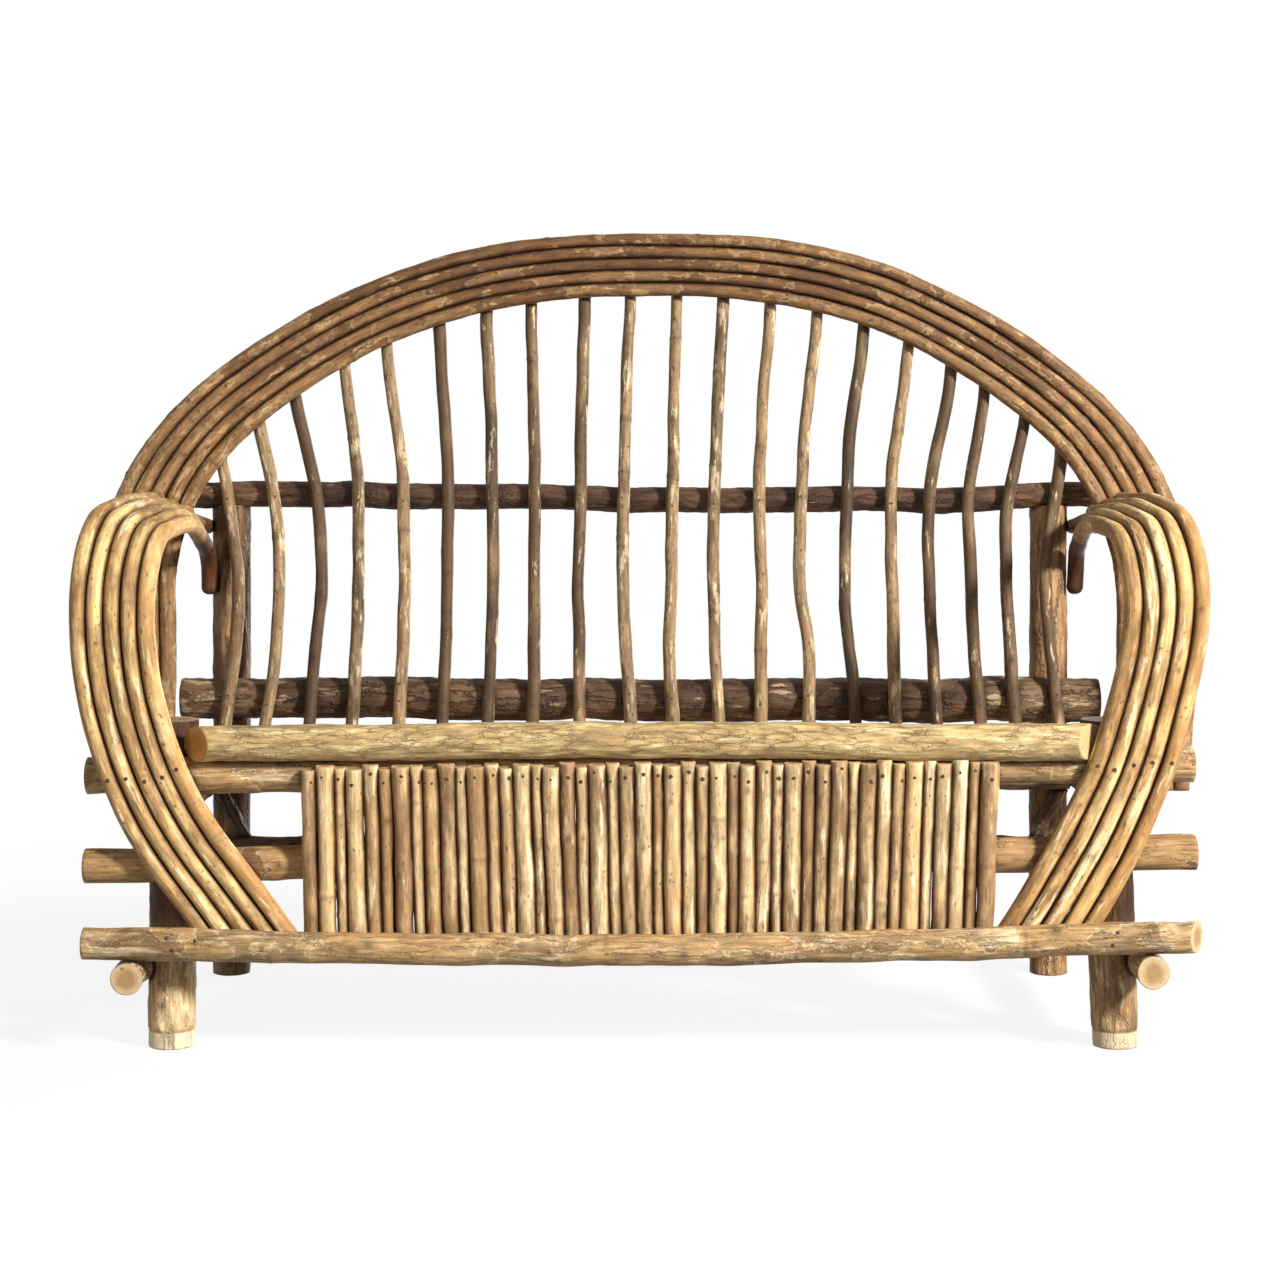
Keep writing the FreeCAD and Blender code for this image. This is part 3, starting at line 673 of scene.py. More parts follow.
class Paint:
    """Short ways to write a wood material's nodes."""

    def __init__(self, name):
        self.material = bpy.data.materials.new(name)
        self.material.use_nodes = True
        self.tree = self.material.node_tree
        self.shader = self.tree.nodes["Principled BSDF"]
        self.grain = self.attribute("grain")
        self.knot, self.ring, self.bare = self.parts("marks")
        # The third tone is mostly painted shade; on the right front post it also holds a darker tone.
        self.light, self.warm, self.painted_shade_and_dark_tone = self.parts("tone")

    def attribute(self, word):
        return node_in(self.tree, "Attribute", {"attribute_name": word}).outputs["Vector"]

    def parts(self, word):
        return node_in(self.tree, "SeparateXYZ", _0=self.attribute(word)).outputs

    def drawn(self, stretch):
        """The straightened place on the pole; marks get longer along it where stretch is below 1."""
        return self.vector("MULTIPLY", self.grain, (1, 1, stretch))

    def vector(self, way, one, other):
        return node_in(self.tree, "VectorMath", {"operation": way}, _0=one, _1=other).outputs[0]

    def noise(self, scale, stretch, detail=3.0, roughness=0.55):
        made = node_in(self.tree, "TexNoise", Vector=self.drawn(stretch), Scale=scale, Detail=detail,
                       Roughness=roughness)
        return made.outputs["Fac"]

    def cracks(self, scale, stretch, width):
        """Thin lines between plates of bark: 1 in a crack."""
        bend = node_in(self.tree, "TexNoise", Vector=self.drawn(1.0), Scale=CRACK_BEND * scale, Detail=3.0)
        stray = CRACK_STRAY / scale
        bend = self.vector("MULTIPLY", bend.outputs["Color"], (stray, stray, stray))
        place = self.vector("ADD", self.drawn(stretch), bend)
        edge = node_in(self.tree, "TexVoronoi", {"feature": "DISTANCE_TO_EDGE"}, Vector=place, Scale=scale)
        return self.scale(self.step(edge.outputs["Distance"], 0.0, width), 1.0, 0.0)

    def step(self, value, low, high):
        """0 below low, 1 above high."""
        made = node_in(self.tree, "MapRange", {"interpolation_type": "SMOOTHSTEP"}, Value=value,
                       From_Min=low, From_Max=high)
        return made.outputs[0]

    def scale(self, value, low, high):
        """Maps 0 to low and 1 to high."""
        return node_in(self.tree, "MapRange", Value=value, To_Min=low, To_Max=high).outputs[0]

    def step_from(self, value, level, span):
        """A step whose span is given from a level."""
        return self.step(value, level + span[0], level + span[1])

    def shade(self, value, span, greys):
        """A step between two greys."""
        return self.scale(self.step(value, *span), *greys)

    def sum(self, one, other):
        return maths(self.tree, "ADD", one, other)

    def times(self, one, other):
        return maths(self.tree, "MULTIPLY", one, other)

    def blend(self, factor, one, other, way="MIX"):
        one, other = (v if isinstance(v, bpy.types.NodeSocket) else (*v, 1.0) for v in (one, other))
        settings = {"data_type": "RGBA", "blend_type": way}
        return node_in(self.tree, "Mix", settings, _0=factor, _6=one, _7=other).outputs[2]

    def dim(self, colour, shade):
        """The colour times a grey value."""
        grey = node_in(self.tree, "CombineColor", Red=shade, Green=shade, Blue=shade).outputs[0]
        return self.blend(1.0, colour, grey, "MULTIPLY")

    def finish(self, colour, roughness, height, bump, specular):
        self.shader.inputs["Specular IOR Level"].default_value = specular
        made = node_in(self.tree, "Bump", Height=height, Strength=1.0, Distance=bump)
        for word, value in (("Base Color", colour), ("Roughness", roughness), ("Normal", made.outputs[0])):
            self.tree.links.new(value, self.shader.inputs[word])
        return self.material


def faded(colour, share):
    return tuple(share * c for c in colour)


# Noises of the wood: marks to the metre, draw along the pole, detail and roughness
FIBRES = (340, 0.06, 4.0, 0.6)
STREAKS = (190, 0.13, 4.0, 0.6)
MOTTLE = (75, 0.45, 4.0, 0.65)
CLOUDS = (24, 0.3, 4.0, 0.6)
LOOSE = (11, 0.7, 5.0, 0.6)
SPECKS = (210, 0.6, 2.0)
BREAKS = (40, 0.5, 3.0)
SPLITS = (70, 0.06, 2.0)
FLAKE_DETAIL = (6.0, 0.66)
END_BLUR = (55, 1.0, 4.0, 0.6)
END_RAYS = (420, 1.0, 2.0)
END_STAINS = (90, 1.0, 5.0, 0.7)

# The span of a noise over which a mark comes in, and a shade's two greys
STREAK_SHADE = ((0.3, 0.7), (0.64, 1.2))
FIBRE_SHADE = ((0.25, 0.75), (0.8, 1.14))
MOTTLE_SHADE = ((0.32, 0.68), (0.76, 1.18))
SPLIT_SHADE = ((0.31, 0.38), (0.5, 1.0))
PATCH_SPAN = (-0.14, 0.18)  # from the bark's own level, as are the next three
PEEL_SPAN = (0.0, 0.01)
PEEL_RIM_SPAN = (-0.02, -0.005)
SPECK_SPAN = (0.0, 0.06)
BREAK_SPAN = (0.36, 0.56)
HEART_SPAN = (0.35, 0.95)
END_RING_SPAN = (0.2, 1.0)
RAY_SPAN = (0.5, 0.7)
STAIN_SPAN = (0.6, 0.68)

# How strong a mark is, and how much of the dark colour it keeps
FLAKE_SWING = -0.5
PEEL_RIM_SHARE = 0.55
SPECK_SHARE = 0.75
BARE_SHARE = 0.93
RING_SHARE = 0.5
RING_TONE = 0.5
KNOT_SHARE = 0.85
MARK_TONE = 0.35
WARM_TINT = (1.05, 0.82, 0.6)
PAINTED_SHADE_TINT = (0.15, 0.085, 0.037)  # what the painted shade leaves of the wood's colour; the right front post's darker tone uses it too
RELIEF = 0.5
CRACK_DEPTH = -1.2
CRACK_BEND = 2.5
CRACK_STRAY = 0.6
BARK_ROUGHNESS = (0.5, 0.78)
BARK_GLOSS = 0.3
END_STRAY = (-0.25, 0.25)
END_RINGS = 40.0
END_RING_SHARE = 0.3
RAY_SHARE = 0.45
# grey of a sawn end under full painted shade
END_SHADED_GREY = 0.3
END_ROUGHNESS = (0.6, 0.85)
END_BUMP = 0.0004
END_GLOSS = 0.2

# Nail iron
IRON_DARK = (0.026, 0.016, 0.009, 1)
RUST = (0.085, 0.042, 0.018, 1)
RUST_SCALE = 500.0
IRON_METAL = 0.1
IRON_ROUGHNESS = 0.8


@dataclass
class Bark:
    """Colours and marks of one kind of bark."""

    pale: tuple
    mid: tuple
    dark: tuple
    flakes: float = 0.58  # noise level above which the bark is worn pale
    flake_share: float = 0.7
    flake_size: float = 70  # marks to the metre
    flake_draw: float = 0.3  # how drawn out along the pole, where 1 is round
    edge: float = 0.05
    patch: float = 0.52  # noise level above which the bark is dark
    swing: float = 0.22  # how much a pole's own tone moves both levels
    speck: float = 0.68
    bump: float = 0.0006
    crack: float = 0.0
    crack_size: float = 60
    crack_draw: float = 0.3
    crack_width: float = 0.1
    crack_tone: float = 0.45
    warmth: float = 0.4
    peel: float = 0.0  # share of the peeled colour where the bark is off
    peel_at: float = 0.52  # noise level above which it is off
    peeled: tuple = (0.5, 0.3, 0.12)
    bare: tuple = (0.84, 0.68, 0.44)


def peel_off(paint, kind, colour):
    """Patches without bark, with pale rims."""
    loose = paint.noise(*LOOSE)
    within = paint.step_from(loose, kind.peel_at, PEEL_SPAN)
    rim = paint.times(paint.step_from(loose, kind.peel_at, PEEL_RIM_SPAN), paint.scale(within, 1.0, 0.0))
    colour = paint.blend(paint.times(within, kind.peel), colour, kind.peeled)
    return paint.blend(paint.times(rim, PEEL_RIM_SHARE), colour, kind.pale)


def bark(name, kind):
    """Weathered bark: streaks, dark patches, pale flakes, cracks, specks, knots, rings and painted shade."""
    paint = Paint(name)
    fibres = paint.noise(*FIBRES)
    streaks = paint.noise(*STREAKS)
    own = paint.scale(paint.light, kind.swing, -kind.swing)
    patches = paint.step_from(paint.sum(paint.noise(*CLOUDS), own), kind.patch, PATCH_SPAN)
    colour = paint.blend(patches, kind.mid, kind.dark)
    worn = paint.noise(kind.flake_size, kind.flake_draw, *FLAKE_DETAIL)
    worn = paint.sum(worn, paint.scale(own, 0.0, FLAKE_SWING))
    flakes = paint.step(worn, kind.flakes, kind.flakes + kind.edge)
    colour = paint.blend(paint.times(flakes, kind.flake_share), colour, kind.pale)
    if kind.peel:
        colour = peel_off(paint, kind, colour)
    shade = paint.times(paint.shade(streaks, *STREAK_SHADE), paint.shade(fibres, *FIBRE_SHADE))
    shade = paint.times(shade, paint.shade(paint.noise(*MOTTLE), *MOTTLE_SHADE))
    colour = paint.dim(colour, shade)
    warmer = tuple(c * k for c, k in zip(kind.mid, WARM_TINT))
    colour = paint.blend(paint.scale(paint.warm, 0.0, kind.warmth), colour, warmer)
    specks = paint.step_from(paint.noise(*SPECKS), kind.speck, SPECK_SPAN)
    colour = paint.blend(paint.times(specks, SPECK_SHARE), colour, faded(kind.dark, MARK_TONE))
    height = paint.times(paint.sum(paint.sum(fibres, flakes), streaks), RELIEF)
    if kind.crack:
        lines = paint.cracks(kind.crack_size, kind.crack_draw, kind.crack_width)
        broken = paint.times(lines, paint.step(paint.noise(*BREAKS), *BREAK_SPAN))
        colour = paint.blend(paint.times(broken, kind.crack), colour, faded(kind.dark, kind.crack_tone))
        height = paint.sum(height, paint.scale(broken, 0.0, CRACK_DEPTH))
    split = paint.shade(paint.noise(*SPLITS), *SPLIT_SHADE)
    colour = paint.blend(paint.times(paint.bare, BARE_SHARE), colour, paint.dim(kind.bare, split))
    colour = paint.blend(paint.times(paint.ring, RING_SHARE), colour, faded(kind.dark, RING_TONE))
    colour = paint.blend(paint.times(paint.knot, KNOT_SHARE), colour, faded(kind.dark, MARK_TONE))
    # Painted shade: the third tone darkens the colour towards its product with the shade tint.
    colour = paint.blend(paint.painted_shade_and_dark_tone, colour, paint.blend(1.0, colour, PAINTED_SHADE_TINT, "MULTIPLY"))
    return paint.finish(colour, paint.scale(fibres, *BARK_ROUGHNESS), height, kind.bump, BARK_GLOSS)


def end_grain(name, rim, heart, dark):
    """A sawn end, whose first mark tells how far out a place is, dimmed by the painted shade of its third
    tone.
    """
    paint = Paint(name)
    away = paint.sum(paint.knot, paint.scale(paint.noise(*END_BLUR), *END_STRAY))
    colour = paint.blend(paint.step(away, *HEART_SPAN), heart, rim)
    waves = maths(paint.tree, "SINE", paint.times(away, END_RINGS))
    colour = paint.blend(paint.times(paint.step(waves, *END_RING_SPAN), END_RING_SHARE), colour, dark)
    rays = paint.noise(*END_RAYS)
    colour = paint.blend(paint.times(paint.step(rays, *RAY_SPAN), RAY_SHARE), colour, dark)
    colour = paint.blend(paint.step(paint.noise(*END_STAINS), *STAIN_SPAN), colour, dark)
    # painted shade: the third tone dims the sawn end towards a grey
    colour = paint.dim(colour, paint.scale(paint.painted_shade_and_dark_tone, 1.0, END_SHADED_GREY))
    return paint.finish(colour, paint.scale(rays, *END_ROUGHNESS), rays, END_BUMP, END_GLOSS)


def iron():
    """Dull dark nail heads with rust."""
    material = bpy.data.materials.new("nail_iron")
    material.use_nodes = True
    tree = material.node_tree
    shader = tree.nodes["Principled BSDF"]
    rust = node_in(tree, "TexNoise", Scale=RUST_SCALE, Detail=3.0).outputs["Fac"]
    mixed = node_in(tree, "Mix", {"data_type": "RGBA"}, _0=rust, _6=IRON_DARK, _7=RUST)
    tree.links.new(mixed.outputs[2], shader.inputs["Base Color"])
    shader.inputs["Metallic"].default_value = IRON_METAL
    shader.inputs["Roughness"].default_value = IRON_ROUGHNESS
    return material


GOLDEN = bark("golden_bark", Bark(
    (1.0, 0.81, 0.46), (0.84, 0.565, 0.24), (0.36, 0.195, 0.07), flakes=0.52, flake_size=75, flake_draw=0.14,
    edge=0.08, flake_share=0.75, patch=0.5, swing=0.16, warmth=0.25, speck=0.64, bump=0.0008))
SKIRT = bark("skirt_bark", Bark(
    (0.92, 0.77, 0.49), (0.66, 0.465, 0.235), (0.31, 0.178, 0.08), swing=0.2, flakes=0.51, flake_size=65,
    flake_draw=0.18, edge=0.11, flake_share=0.75, warmth=0.3, speck=0.65, bump=0.0008))
ARCH = bark("arch_bark", Bark(
    (0.52, 0.35, 0.17), (0.255, 0.132, 0.05), (0.11, 0.05, 0.017), flakes=0.55, flake_size=85, edge=0.06,
    flake_share=0.75, patch=0.48, swing=0.25, speck=0.62, warmth=0.25, peel=0.45,
    peeled=(0.33, 0.185, 0.078), bump=0.0009))
SPLAT = bark("splat_bark", Bark(
    (0.72, 0.56, 0.34), (0.295, 0.19, 0.093), (0.065, 0.036, 0.016), flakes=0.54, swing=0.34, flake_size=80,
    flake_draw=0.22, edge=0.06, patch=0.48, speck=0.63, warmth=0.35, bump=0.0009))
LOG = bark("seat_log_bark", Bark(
    (0.83, 0.645, 0.325), (0.505, 0.34, 0.145), (0.28, 0.172, 0.071), flakes=0.49, flake_share=0.6,
    flake_draw=0.2, edge=0.12, patch=0.54, bump=0.001, crack=0.4, crack_size=110, crack_draw=0.22,
    crack_width=0.07, crack_tone=0.8, warmth=0.15))
RAIL = bark("rail_bark", Bark(
    (0.77, 0.59, 0.35), (0.365, 0.232, 0.107), (0.15, 0.079, 0.033), flakes=0.53, edge=0.08, flake_draw=0.15,
    flake_size=50, bump=0.0009, crack=0.3, crack_size=90, crack_draw=0.1, crack_width=0.06, warmth=0.25,
    peel=0.75, peel_at=0.48, peeled=(0.48, 0.293, 0.121), patch=0.48))
FOOT = bark("foot_bark", Bark(
    (0.89, 0.67, 0.38), (0.69, 0.47, 0.231), (0.27, 0.155, 0.063), bump=0.001, crack=0.35, crack_draw=0.06,
    crack_width=0.08, patch=0.6, flakes=0.5, edge=0.1))
DARK = bark("dark_bark", Bark(
    (0.48, 0.34, 0.19), (0.17, 0.10, 0.05), (0.06, 0.03, 0.015), flakes=0.54, flake_draw=0.25, bump=0.0016,
    crack=0.8, crack_size=70, crack_draw=0.16, crack_width=0.12, swing=0.3, warmth=0.2))
UPPER = bark("upper_rail_bark", Bark(
    (0.40, 0.26, 0.14), (0.125, 0.063, 0.029), (0.045, 0.02, 0.01), flakes=0.57, bump=0.0012, crack=0.5,
    crack_draw=0.14, swing=0.3, warmth=0.2))
POST = bark("post_bark", Bark(
    (0.60, 0.40, 0.20), (0.38, 0.218, 0.097), (0.14, 0.073, 0.032), flakes=0.56, bump=0.0013, crack=0.6,
    crack_draw=0.08, warmth=0.2))
PALE_END = end_grain("pale_end", (0.64, 0.465, 0.265), (0.38, 0.225, 0.10), (0.27, 0.155, 0.07))
CREAM_END = end_grain("cream_end", (0.52, 0.395, 0.185), (0.47, 0.35, 0.16), (0.37, 0.26, 0.11))
GOLD_END = end_grain("gold_end", (0.50, 0.33, 0.15), (0.34, 0.19, 0.075), (0.20, 0.11, 0.045))
DARK_END = end_grain("dark_end", (0.30, 0.19, 0.10), (0.18, 0.10, 0.05), (0.08, 0.045, 0.025))
ORANGE_END = end_grain("orange_end", (0.50, 0.255, 0.085), (0.38, 0.18, 0.055), (0.19, 0.085, 0.03))
IRON = iron()


# Pieces

class Finish:
    """Shape, wood and sawn ends of one kind of pole."""

    def __init__(self, slot, look, wood, first_end, last_end=None):
        self.slot = slot
        self.look = look
        self.materials = [wood, first_end, last_end or first_end]


ARM_LOOK = Look(wander=0.0005, knots=4, knot_size=0.004, rings=2, fat=1.03)
HOOK_LOOK = replace(ARM_LOOK, grow=0.1, blunt=0.011, spacing=0.002)
ARCH_LOOK = Look(swell=0.022, knots=9, knot_size=0.004, knot_rise=0.001, rings=5, ring_rise=0.0006, fat=1.075,
                 leg_fat=0.2, rough=0.0003, spacing=0.006)
SKIRT_LOOK = Look(wander=0.001, swell=0.035, taper=0.06, ring_rise=0.0009, fat=1.14)
SPLAT_LOOK = Look(wander=0.0009, swell=0.03, knots=7, knot_size=0.0045, rings=3, ring_rise=0.0005, taper=0.1)
DECK_LOOK = Look(wander=0.001, sides=14, spacing=0.015)
RAIL_LOOK = Look(wander=0.0012, swell=0.015, out_of_round=0.025, knot_size=0.008, knot_rise=0.0016, rings=1,
                 sides=RAIL_SIDES)
TOP_LOOK = replace(RAIL_LOOK, fat=1.08)
BOTTOM_LOOK = replace(RAIL_LOOK, swell=0.02, out_of_round=0.03, knots=6, knot_size=0.007, rings=2, taper=0.0,
                      fat=0.82, thin_end=-0.04)
LOG_LOOK = Look(wander=0.0012, swell=0.01, out_of_round=0.02, knots=2, knot_size=0.006, rings=0, rough=0.0004,
                fat=0.93, sides=LOG_SIDES)
DARK_LOOK = Look(wander=0.0015, swell=0.015, out_of_round=0.025, knots=4, knot_size=0.01, knot_rise=0.0016,
                 rings=0, rough=0.0007, sides=LOG_SIDES)
BACK_LOG_LOOK = replace(DARK_LOOK, rough=0.0008, taper=0.0, grow=0.13)
POST_LOOK = Look(wander=0.0, out_of_round=0.02, knot_size=0.008, knot_rise=0.0016, rings=0, taper=0.02,
                 rough=0.0005, sides=LOG_SIDES, spacing=0.003)

FINISHES = {
    "arm_rod_left_1": Finish("arm_rods", HOOK_LOOK, GOLDEN, DARK_END),
    "arm_rod_right_1": Finish("arm_rods", HOOK_LOOK, GOLDEN, DARK_END),
    "arm_rod": Finish("arm_rods", ARM_LOOK, GOLDEN, GOLD_END),
    "arch_rod": Finish("arch_rods", ARCH_LOOK, ARCH, DARK_END),
    "back_splat": Finish("splats", SPLAT_LOOK, SPLAT, DARK_END),
    "skirt_sticks": Finish("skirt", SKIRT_LOOK, SKIRT, PALE_END),
    "deck_sticks": Finish("deck", DECK_LOOK, SKIRT, PALE_END),
    "seat_front_log": Finish("seat_log", LOG_LOOK, LOG, ORANGE_END, CREAM_END),
    "front_post": Finish("front_frame", POST_LOOK, FOOT, PALE_END),
    "front_bottom_rail": Finish("front_frame", BOTTOM_LOOK, RAIL, GOLD_END, PALE_END),
    "front_top_rail": Finish("front_frame", TOP_LOOK, RAIL, GOLD_END),
    "front_": Finish("front_frame", RAIL_LOOK, RAIL, GOLD_END),
    "side_rail": Finish("front_frame", RAIL_LOOK, RAIL, PALE_END),
    "back_post": Finish("back_frame", POST_LOOK, POST, DARK_END),
    "back_upper_rail": Finish("back_frame", DARK_LOOK, UPPER, DARK_END),
    "back_seat_log": Finish("back_frame", BACK_LOG_LOOK, DARK, DARK_END),
    "back_": Finish("back_frame", DARK_LOOK, DARK, DARK_END),
}

# Lightness and warmth of the splats from left to right, each between 0 and 1
SPLAT_TONES = ((0.5, 0.7), (0.85, 0.1), (0.2, 0.2), (0.55, 0.0), (0.75, 0.3), (0.2, 0.3), (0.35, 0.1),
               (0.35, 0.4), (0.4, 0.2), (0.65, 0.0), (0.75, 0.3), (0.5, 0.1), (0.9, 0.3), (0.65, 0.1),
               (0.35, 0.0), (0.7, 0.1), (0.35, 0.2), (0.3, 0.4), (0.35, 0.3), (0.4, 0.4))

# Knots that stand out: height, place across the sofa, size and rise
KNOTS = {
    "skirt_sticks": (
        (0.294, -0.083, 0.0085, 0.0032), (0.335, 0.21, 0.006, 0.0018), (0.262, -0.318, 0.006, 0.0016),
        (0.30, -0.457, 0.007, 0.002), (0.245, 0.352, 0.006, 0.0018)),
    "front_bottom_rail": (
        (0.152, -0.502, 0.010, 0.003), (0.158, -0.380, 0.012, 0.0035), (0.15, -0.12, 0.009, 0.0025),
        (0.15, 0.31, 0.010, 0.003), (0.16, 0.52, 0.008, 0.002)),
    "back_splat_14": ((0.495, 0.228, 0.011, 0.004),),
    "back_splat_16": ((0.518, 0.36, 0.012, 0.005), (0.53, 0.355, 0.007, 0.003)),
    "back_splat_09": ((0.60, -0.03, 0.008, 0.002),),
    "back_splat_03": ((0.585, -0.49, 0.009, 0.0025),),
    "arm_rod_left_5": ((0.435, -0.735, 0.006, 0.0012),),
}


def finish_of(node):
    return next(finish for word, finish in FINISHES.items() if word in node)


def tint_of(node):
    """A function that gives the tones over one pole of a node: lightness, warmth and a darkening that is
    mostly painted shade.
    """
    light = rng.uniform(*LIGHT_RANGE)
    warm = rng.uniform() ** 2
    if node.startswith("back_splat"):
        light, warm = SPLAT_TONES[int(node[-2:]) - 1]

    def tint(places):
        x, y, z = np.moveaxis(places, -1, 0)
        pale = np.full_like(x, light)
        painted_shade_and_dark_tone = np.zeros_like(x)
        if node in ("back_seat_log", "back_upper_rail"):
            ends = ramp(x, *BACK_LEFT_X) + BACK_RIGHT_SHARE * ramp(x, *BACK_RIGHT_X)
            pale = BACK_LIGHT + (1 - BACK_LIGHT) * ends
        if node.startswith("arch_rod"):
            pale = ARCH_LIGHT + ARCH_OWN_LIGHT * light + ARCH_LEG_LIGHT * ramp(z, *ARCH_LEG_Z)
        if node.startswith("arm_rod"):
            # painted shade on the arms' tops, darker towards the back
            painted_shade_and_dark_tone = ARM_TOP_SHADE * ramp(y, *ARM_TOP_Y)
            if node.endswith("_1"):
                # painted shade on the curled end: darker and without its own lightness
                hook_shade = ramp(y, *HOOK_Y) * ramp(z, *HOOK_Z)
                pale = light * (1 - hook_shade)
                painted_shade_and_dark_tone = np.maximum(painted_shade_and_dark_tone, hook_shade)
            if node.endswith("_2"):
                # painted shade on the second rod towards the back
                painted_shade_and_dark_tone = np.maximum(painted_shade_and_dark_tone, ramp(y, *SECOND_ROD_Y))
        if node.startswith("front_post"):
            # Painted shade on the front posts above the rails: darker and without their own lightness; the
            # right post is also darker all over.
            post_top_shade = ramp(z, *POST_SHADE_Z)
            shade = RIGHT_POST_DUSK if node.endswith("right") else 0.0
            pale = light * (1 - post_top_shade)
            painted_shade_and_dark_tone = shade + (1 - shade) * post_top_shade
        return np.stack([pale, np.full_like(x, warm), painted_shade_and_dark_tone], axis=-1)

    return tint


def growths_of(node, points):
    """The knots of a node that lie on this pole."""
    left = points[:, 0].min() - GROWTH_NEAR
    right = points[:, 0].max() + GROWTH_NEAR
    return [knot for knot in KNOTS.get(node, ()) if left < knot[1] < right]


def dress(node, first_owner):
    """Rebuilds a node's poles in place of it."""
    finish = finish_of(node)
    poles = Poles()
    for k, axis in enumerate(axes[node]):
        foot = FOOT_BAND if node.startswith("front_post") else 0.0
        poles.add(first_owner + k, axis, finish.look, tint_of(node), growths_of(node, axis[0]), foot)
    made = poles.piece(node + "_pole", finish.materials)
    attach(made, "root")
    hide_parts(node)
    return poles.wall()


def spread(points):
    """How far the arch bulges past the true one, away from its focus and more on the right."""
    x, _, z = points.T
    bulge = np.where(x < 0, ARCH_BULGE_LEFT, ARCH_BULGE_RIGHT)
    low = np.where(x < 0, ARCH_LOW_LEFT, ARCH_LOW_RIGHT)
    bulge = bulge * ramp(np.abs(x), *ARCH_BULGE_X) * ramp(z, low, low + ARCH_BULGE_RISE)
    out = points - ARCH_FOCUS
    out[:, 1] = 0
    return unit(out) * bulge[:, None]


def settle(node, points, radius):
    """The small leans of a piece made by hand."""
    was = points.copy()
    x, _, z = was.T
    if node.startswith("arch_rod"):
        points += spread(was)
    if node.startswith("back_splat"):
        points += spread(was) * ramp(z, z.max() - SPLAT_EASE, z.max())[:, None]
    if node == "skirt_sticks":
        hang = (z.max() - z) / (z.max() - z.min())
        points[:, X] += SKIRT_LEAN * hang * np.cos(math.pi * (x - SKIRT_LEAN_AT) / SKIRT_LEAN_TURN)
        points[np.argmax(z), Z] += SKIRT_REACH
    if node == "front_bottom_rail":
        slack = (1 - finish_of(node).look.fat) * radius
        points += np.array((0, slack, -slack))
    if node == "seat_front_log":
        points[-1, X] += SEAT_LOG_REACH
    if node.startswith("arm_rod"):
        foot = 0 if z[0] < z[-1] else len(z) - 1
        inward = 1 if foot == 0 else -1
        points[foot] += unit(was[foot] - was[foot + inward]) * ARM_FOOT_REACH
    for prefix, moved, amount, spans in LEANS:
        if node.startswith(prefix):
            points[:, moved] += amount * math.prod(ramp(was[:, k], low, high) for k, low, high in spans)
    return points


axes = {node: [post_axis(node)] if "_post_" in node else axes_of(node) for node in sorted(frame["nodes"])}
for node in axes:
    axes[node] = [(settle(node, points, radius), radius, facings) for points, radius, facings in axes[node]]
crowd = Crowd([(axis[0], axis[1] * finish_of(node).look.fat) for node in axes for axis in axes[node]])
walls = {}
owner = 0
for node in axes:
    walls[node] = dress(node, owner)
    owner += len(axes[node])


# Nails

class Nails:
    """Domed heads on the front of the poles."""

    def __init__(self):
        self.places = []
        self.faces = []

    def drive(self, node, x, z, size=NAIL_R):
        """A nail into a node's front, where the line through x and z meets it."""
        start = Vector((x, cad_box[0][1] - NAIL_START, z))
        place, normal, _, _ = walls[node].ray_cast(start, Vector((0, 1, 0)))
        if place is None:
            return
        ring = all_round(normal, NAIL_SIDES)
        first = len(self.places)
        uneven = size * rng.uniform(*NAIL_UNEVEN, NAIL_SIDES)
        for share, out in NAIL_ROWS:
            for spoke, reach in zip(ring, uneven):
                self.places.append(place + normal * out + spoke * (reach * share))
        self.places.append(place + normal * NAIL_PROUD)
        for row in range(len(NAIL_ROWS) - 1):
            low = first + row * NAIL_SIDES
            self.faces += band(low, low + NAIL_SIDES, NAIL_SIDES)
        hub = first + len(NAIL_ROWS) * NAIL_SIDES
        self.faces += fan(hub - NAIL_SIDES, hub, NAIL_SIDES)

    def piece(self):
        mesh = bpy.data.meshes.new("nails")
        mesh.from_pydata([tuple(p) for p in self.places], [], self.faces)
        mesh.materials.append(IRON)
        mesh.update()
        made = placed("nails", mesh)
        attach(made, "root")


def axis_at(points, column, value):
    """The point of an axis where one of its coordinates first reaches a value."""
    k = int(np.argmax((points[:-1, column] - value) * (points[1:, column] - value) <= 0))
    return points[k]


def drive_nails():
    nails = Nails()
    rail = axes["front_top_rail"][0][0]
    for points, _, _ in axes["skirt_sticks"]:
        top = points[np.argmax(points[:, 2])]
        x = top[0] + rng.normal(0, SKIRT_NAIL_STRAY[0])
        z = top[2] - SKIRT_NAIL_DROP + rng.normal(0, SKIRT_NAIL_STRAY[1])
        nails.drive("skirt_sticks", x, z, SKIRT_NAIL_R * rng.uniform(*SKIRT_NAIL_SIZES))
    for node in axes:
        points = axes[node][0][0]
        if node.startswith("arm_rod"):
            height = axis_at(rail, 0, points[0][0])[2]
            front = points[points[:, 2] < height + ARM_FRONT_TOP]
            at = axis_at(front, 2, height + rng.normal(*ARM_NAIL_UP))
            nails.drive(node, at[0] + rng.normal(0, ARM_NAIL_STRAY), at[2])
        if node.startswith("back_splat"):
            for height in (BACK_LOG_Z, BACK_RAIL_Z):
                at = axis_at(points, 2, height + rng.normal(0, SPLAT_NAIL_STRAY[1]))
                nails.drive(node, at[0] + rng.normal(0, SPLAT_NAIL_STRAY[0]), at[2], BRAD_R)
    for x, up in BOTTOM_NAILS:
        nails.drive("front_bottom_rail", x, axis_at(axes["front_bottom_rail"][0][0], 0, x)[2] + up)
    nails.piece()


drive_nails()


# Stage

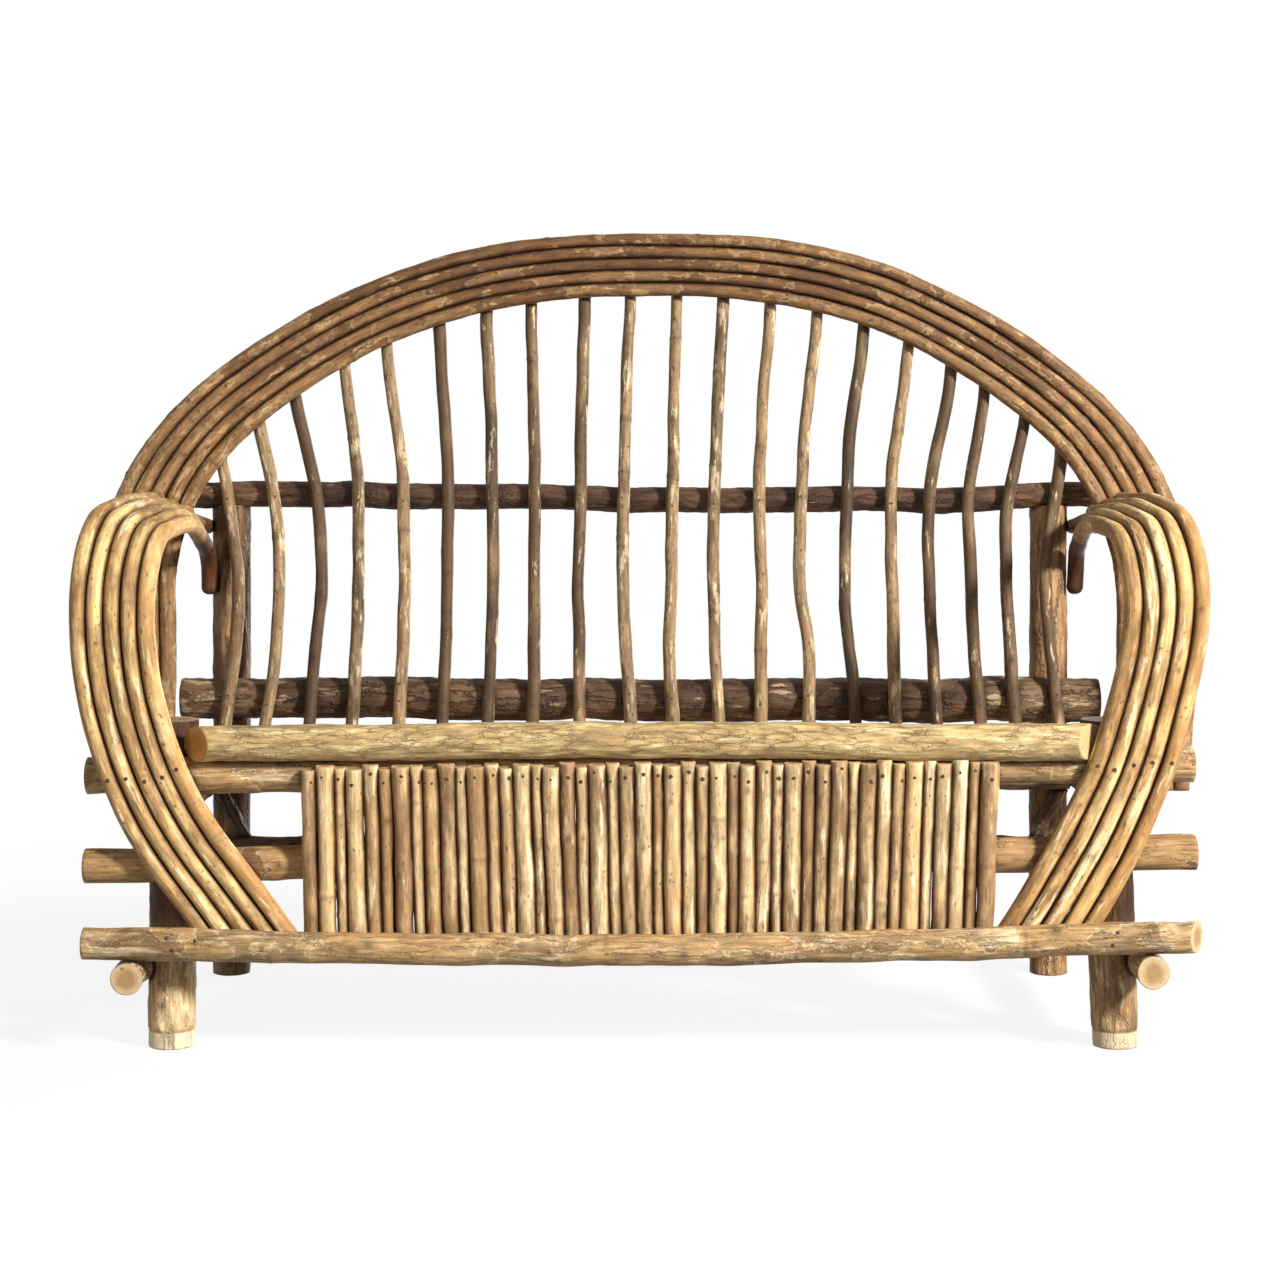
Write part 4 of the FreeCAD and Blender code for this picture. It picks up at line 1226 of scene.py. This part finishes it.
def seen_directly(tree):
    """1 for what the camera sees, also by reflection or through glass."""
    path = node_in(tree, "LightPath").outputs
    seen = path["Is Camera Ray"]
    for way in ("Is Glossy Ray", "Is Transmission Ray"):
        seen = maths(tree, "MAXIMUM", seen, path[way])
    return seen


def floor():
    mesh = bpy.data.meshes.new("floor")
    corners = [(FLOOR_HALF * x, FLOOR_HALF * y, 0) for x, y in ((-1, -1), (1, -1), (1, 1), (-1, 1))]
    mesh.from_pydata(corners, [], [(0, 1, 2, 3)])
    made = placed("floor", mesh)
    material = bpy.data.materials.new("floor")
    material.use_nodes = True
    tree = material.node_tree
    tree.nodes.clear()
    place = node_in(tree, "TexCoord").outputs["Object"]
    away = node_in(tree, "VectorMath", {"operation": "LENGTH"}, _0=place).outputs["Value"]
    far = node_in(tree, "MapRange", {"interpolation_type": "SMOOTHSTEP"}, Value=away,
                  From_Min=FLOOR_FADE[0], From_Max=FLOOR_FADE[1]).outputs[0]
    seen = seen_directly(tree)
    grey = node_in(tree, "MapRange", Value=seen, To_Min=FLOOR_BOUNCE, To_Max=FLOOR_GREY).outputs[0]
    colour = node_in(tree, "CombineColor", Red=grey, Green=grey, Blue=grey).outputs[0]
    matt = node_in(tree, "BsdfDiffuse", Color=colour)
    white = node_in(tree, "Emission", Color=WHITE, Strength=1.0)
    share = node_in(tree, "MapRange", Value=far, To_Min=FLOOR_GLOW, To_Max=1.0).outputs[0]
    share = maths(tree, "MULTIPLY", share, seen)
    mixed = node_in(tree, "MixShader", _0=share, _1=matt.outputs[0], _2=white.outputs[0])
    out = node_in(tree, "OutputMaterial")
    tree.links.new(mixed.outputs[0], out.inputs["Surface"])
    mesh.materials.append(material)


def world():
    made = bpy.data.worlds.new("studio")
    bpy.context.scene.world = made
    made.use_nodes = True
    tree = made.node_tree
    tree.nodes.clear()
    soft = node_in(tree, "Background", Color=AMBIENT_TINT, Strength=AMBIENT)
    white = node_in(tree, "Background", Color=WHITE, Strength=1.0)
    mixed = node_in(tree, "MixShader", _0=seen_directly(tree), _1=soft.outputs[0], _2=white.outputs[0])
    out = node_in(tree, "OutputWorld")
    tree.links.new(mixed.outputs[0], out.inputs["Surface"])


def lamp(name, at, size, watts):
    data = bpy.data.lights.new(name, "AREA")
    data.size = size
    data.energy = watts
    made = placed(name, data)
    made.location = at
    made.rotation_euler = (Vector(LAMP_TARGET) - Vector(at)).to_track_quat("-Z", "Y").to_euler()


def camera():
    data = bpy.data.cameras.new("camera")
    data.sensor_width = SENSOR_MM
    data.lens = SENSOR_MM * FOCAL_PX / PHOTO_SIZE
    data.shift_y = (HORIZON_PX - PHOTO_SIZE / 2) / PHOTO_SIZE
    made = placed("camera", data)
    made.location = CAMERA_AT
    made.rotation_euler = (math.pi / 2, 0, 0)
    bpy.context.scene.camera = made


floor()
world()
for row in LAMPS:
    lamp(*row)
camera()
bpy.context.scene.view_settings.view_transform = "Standard"
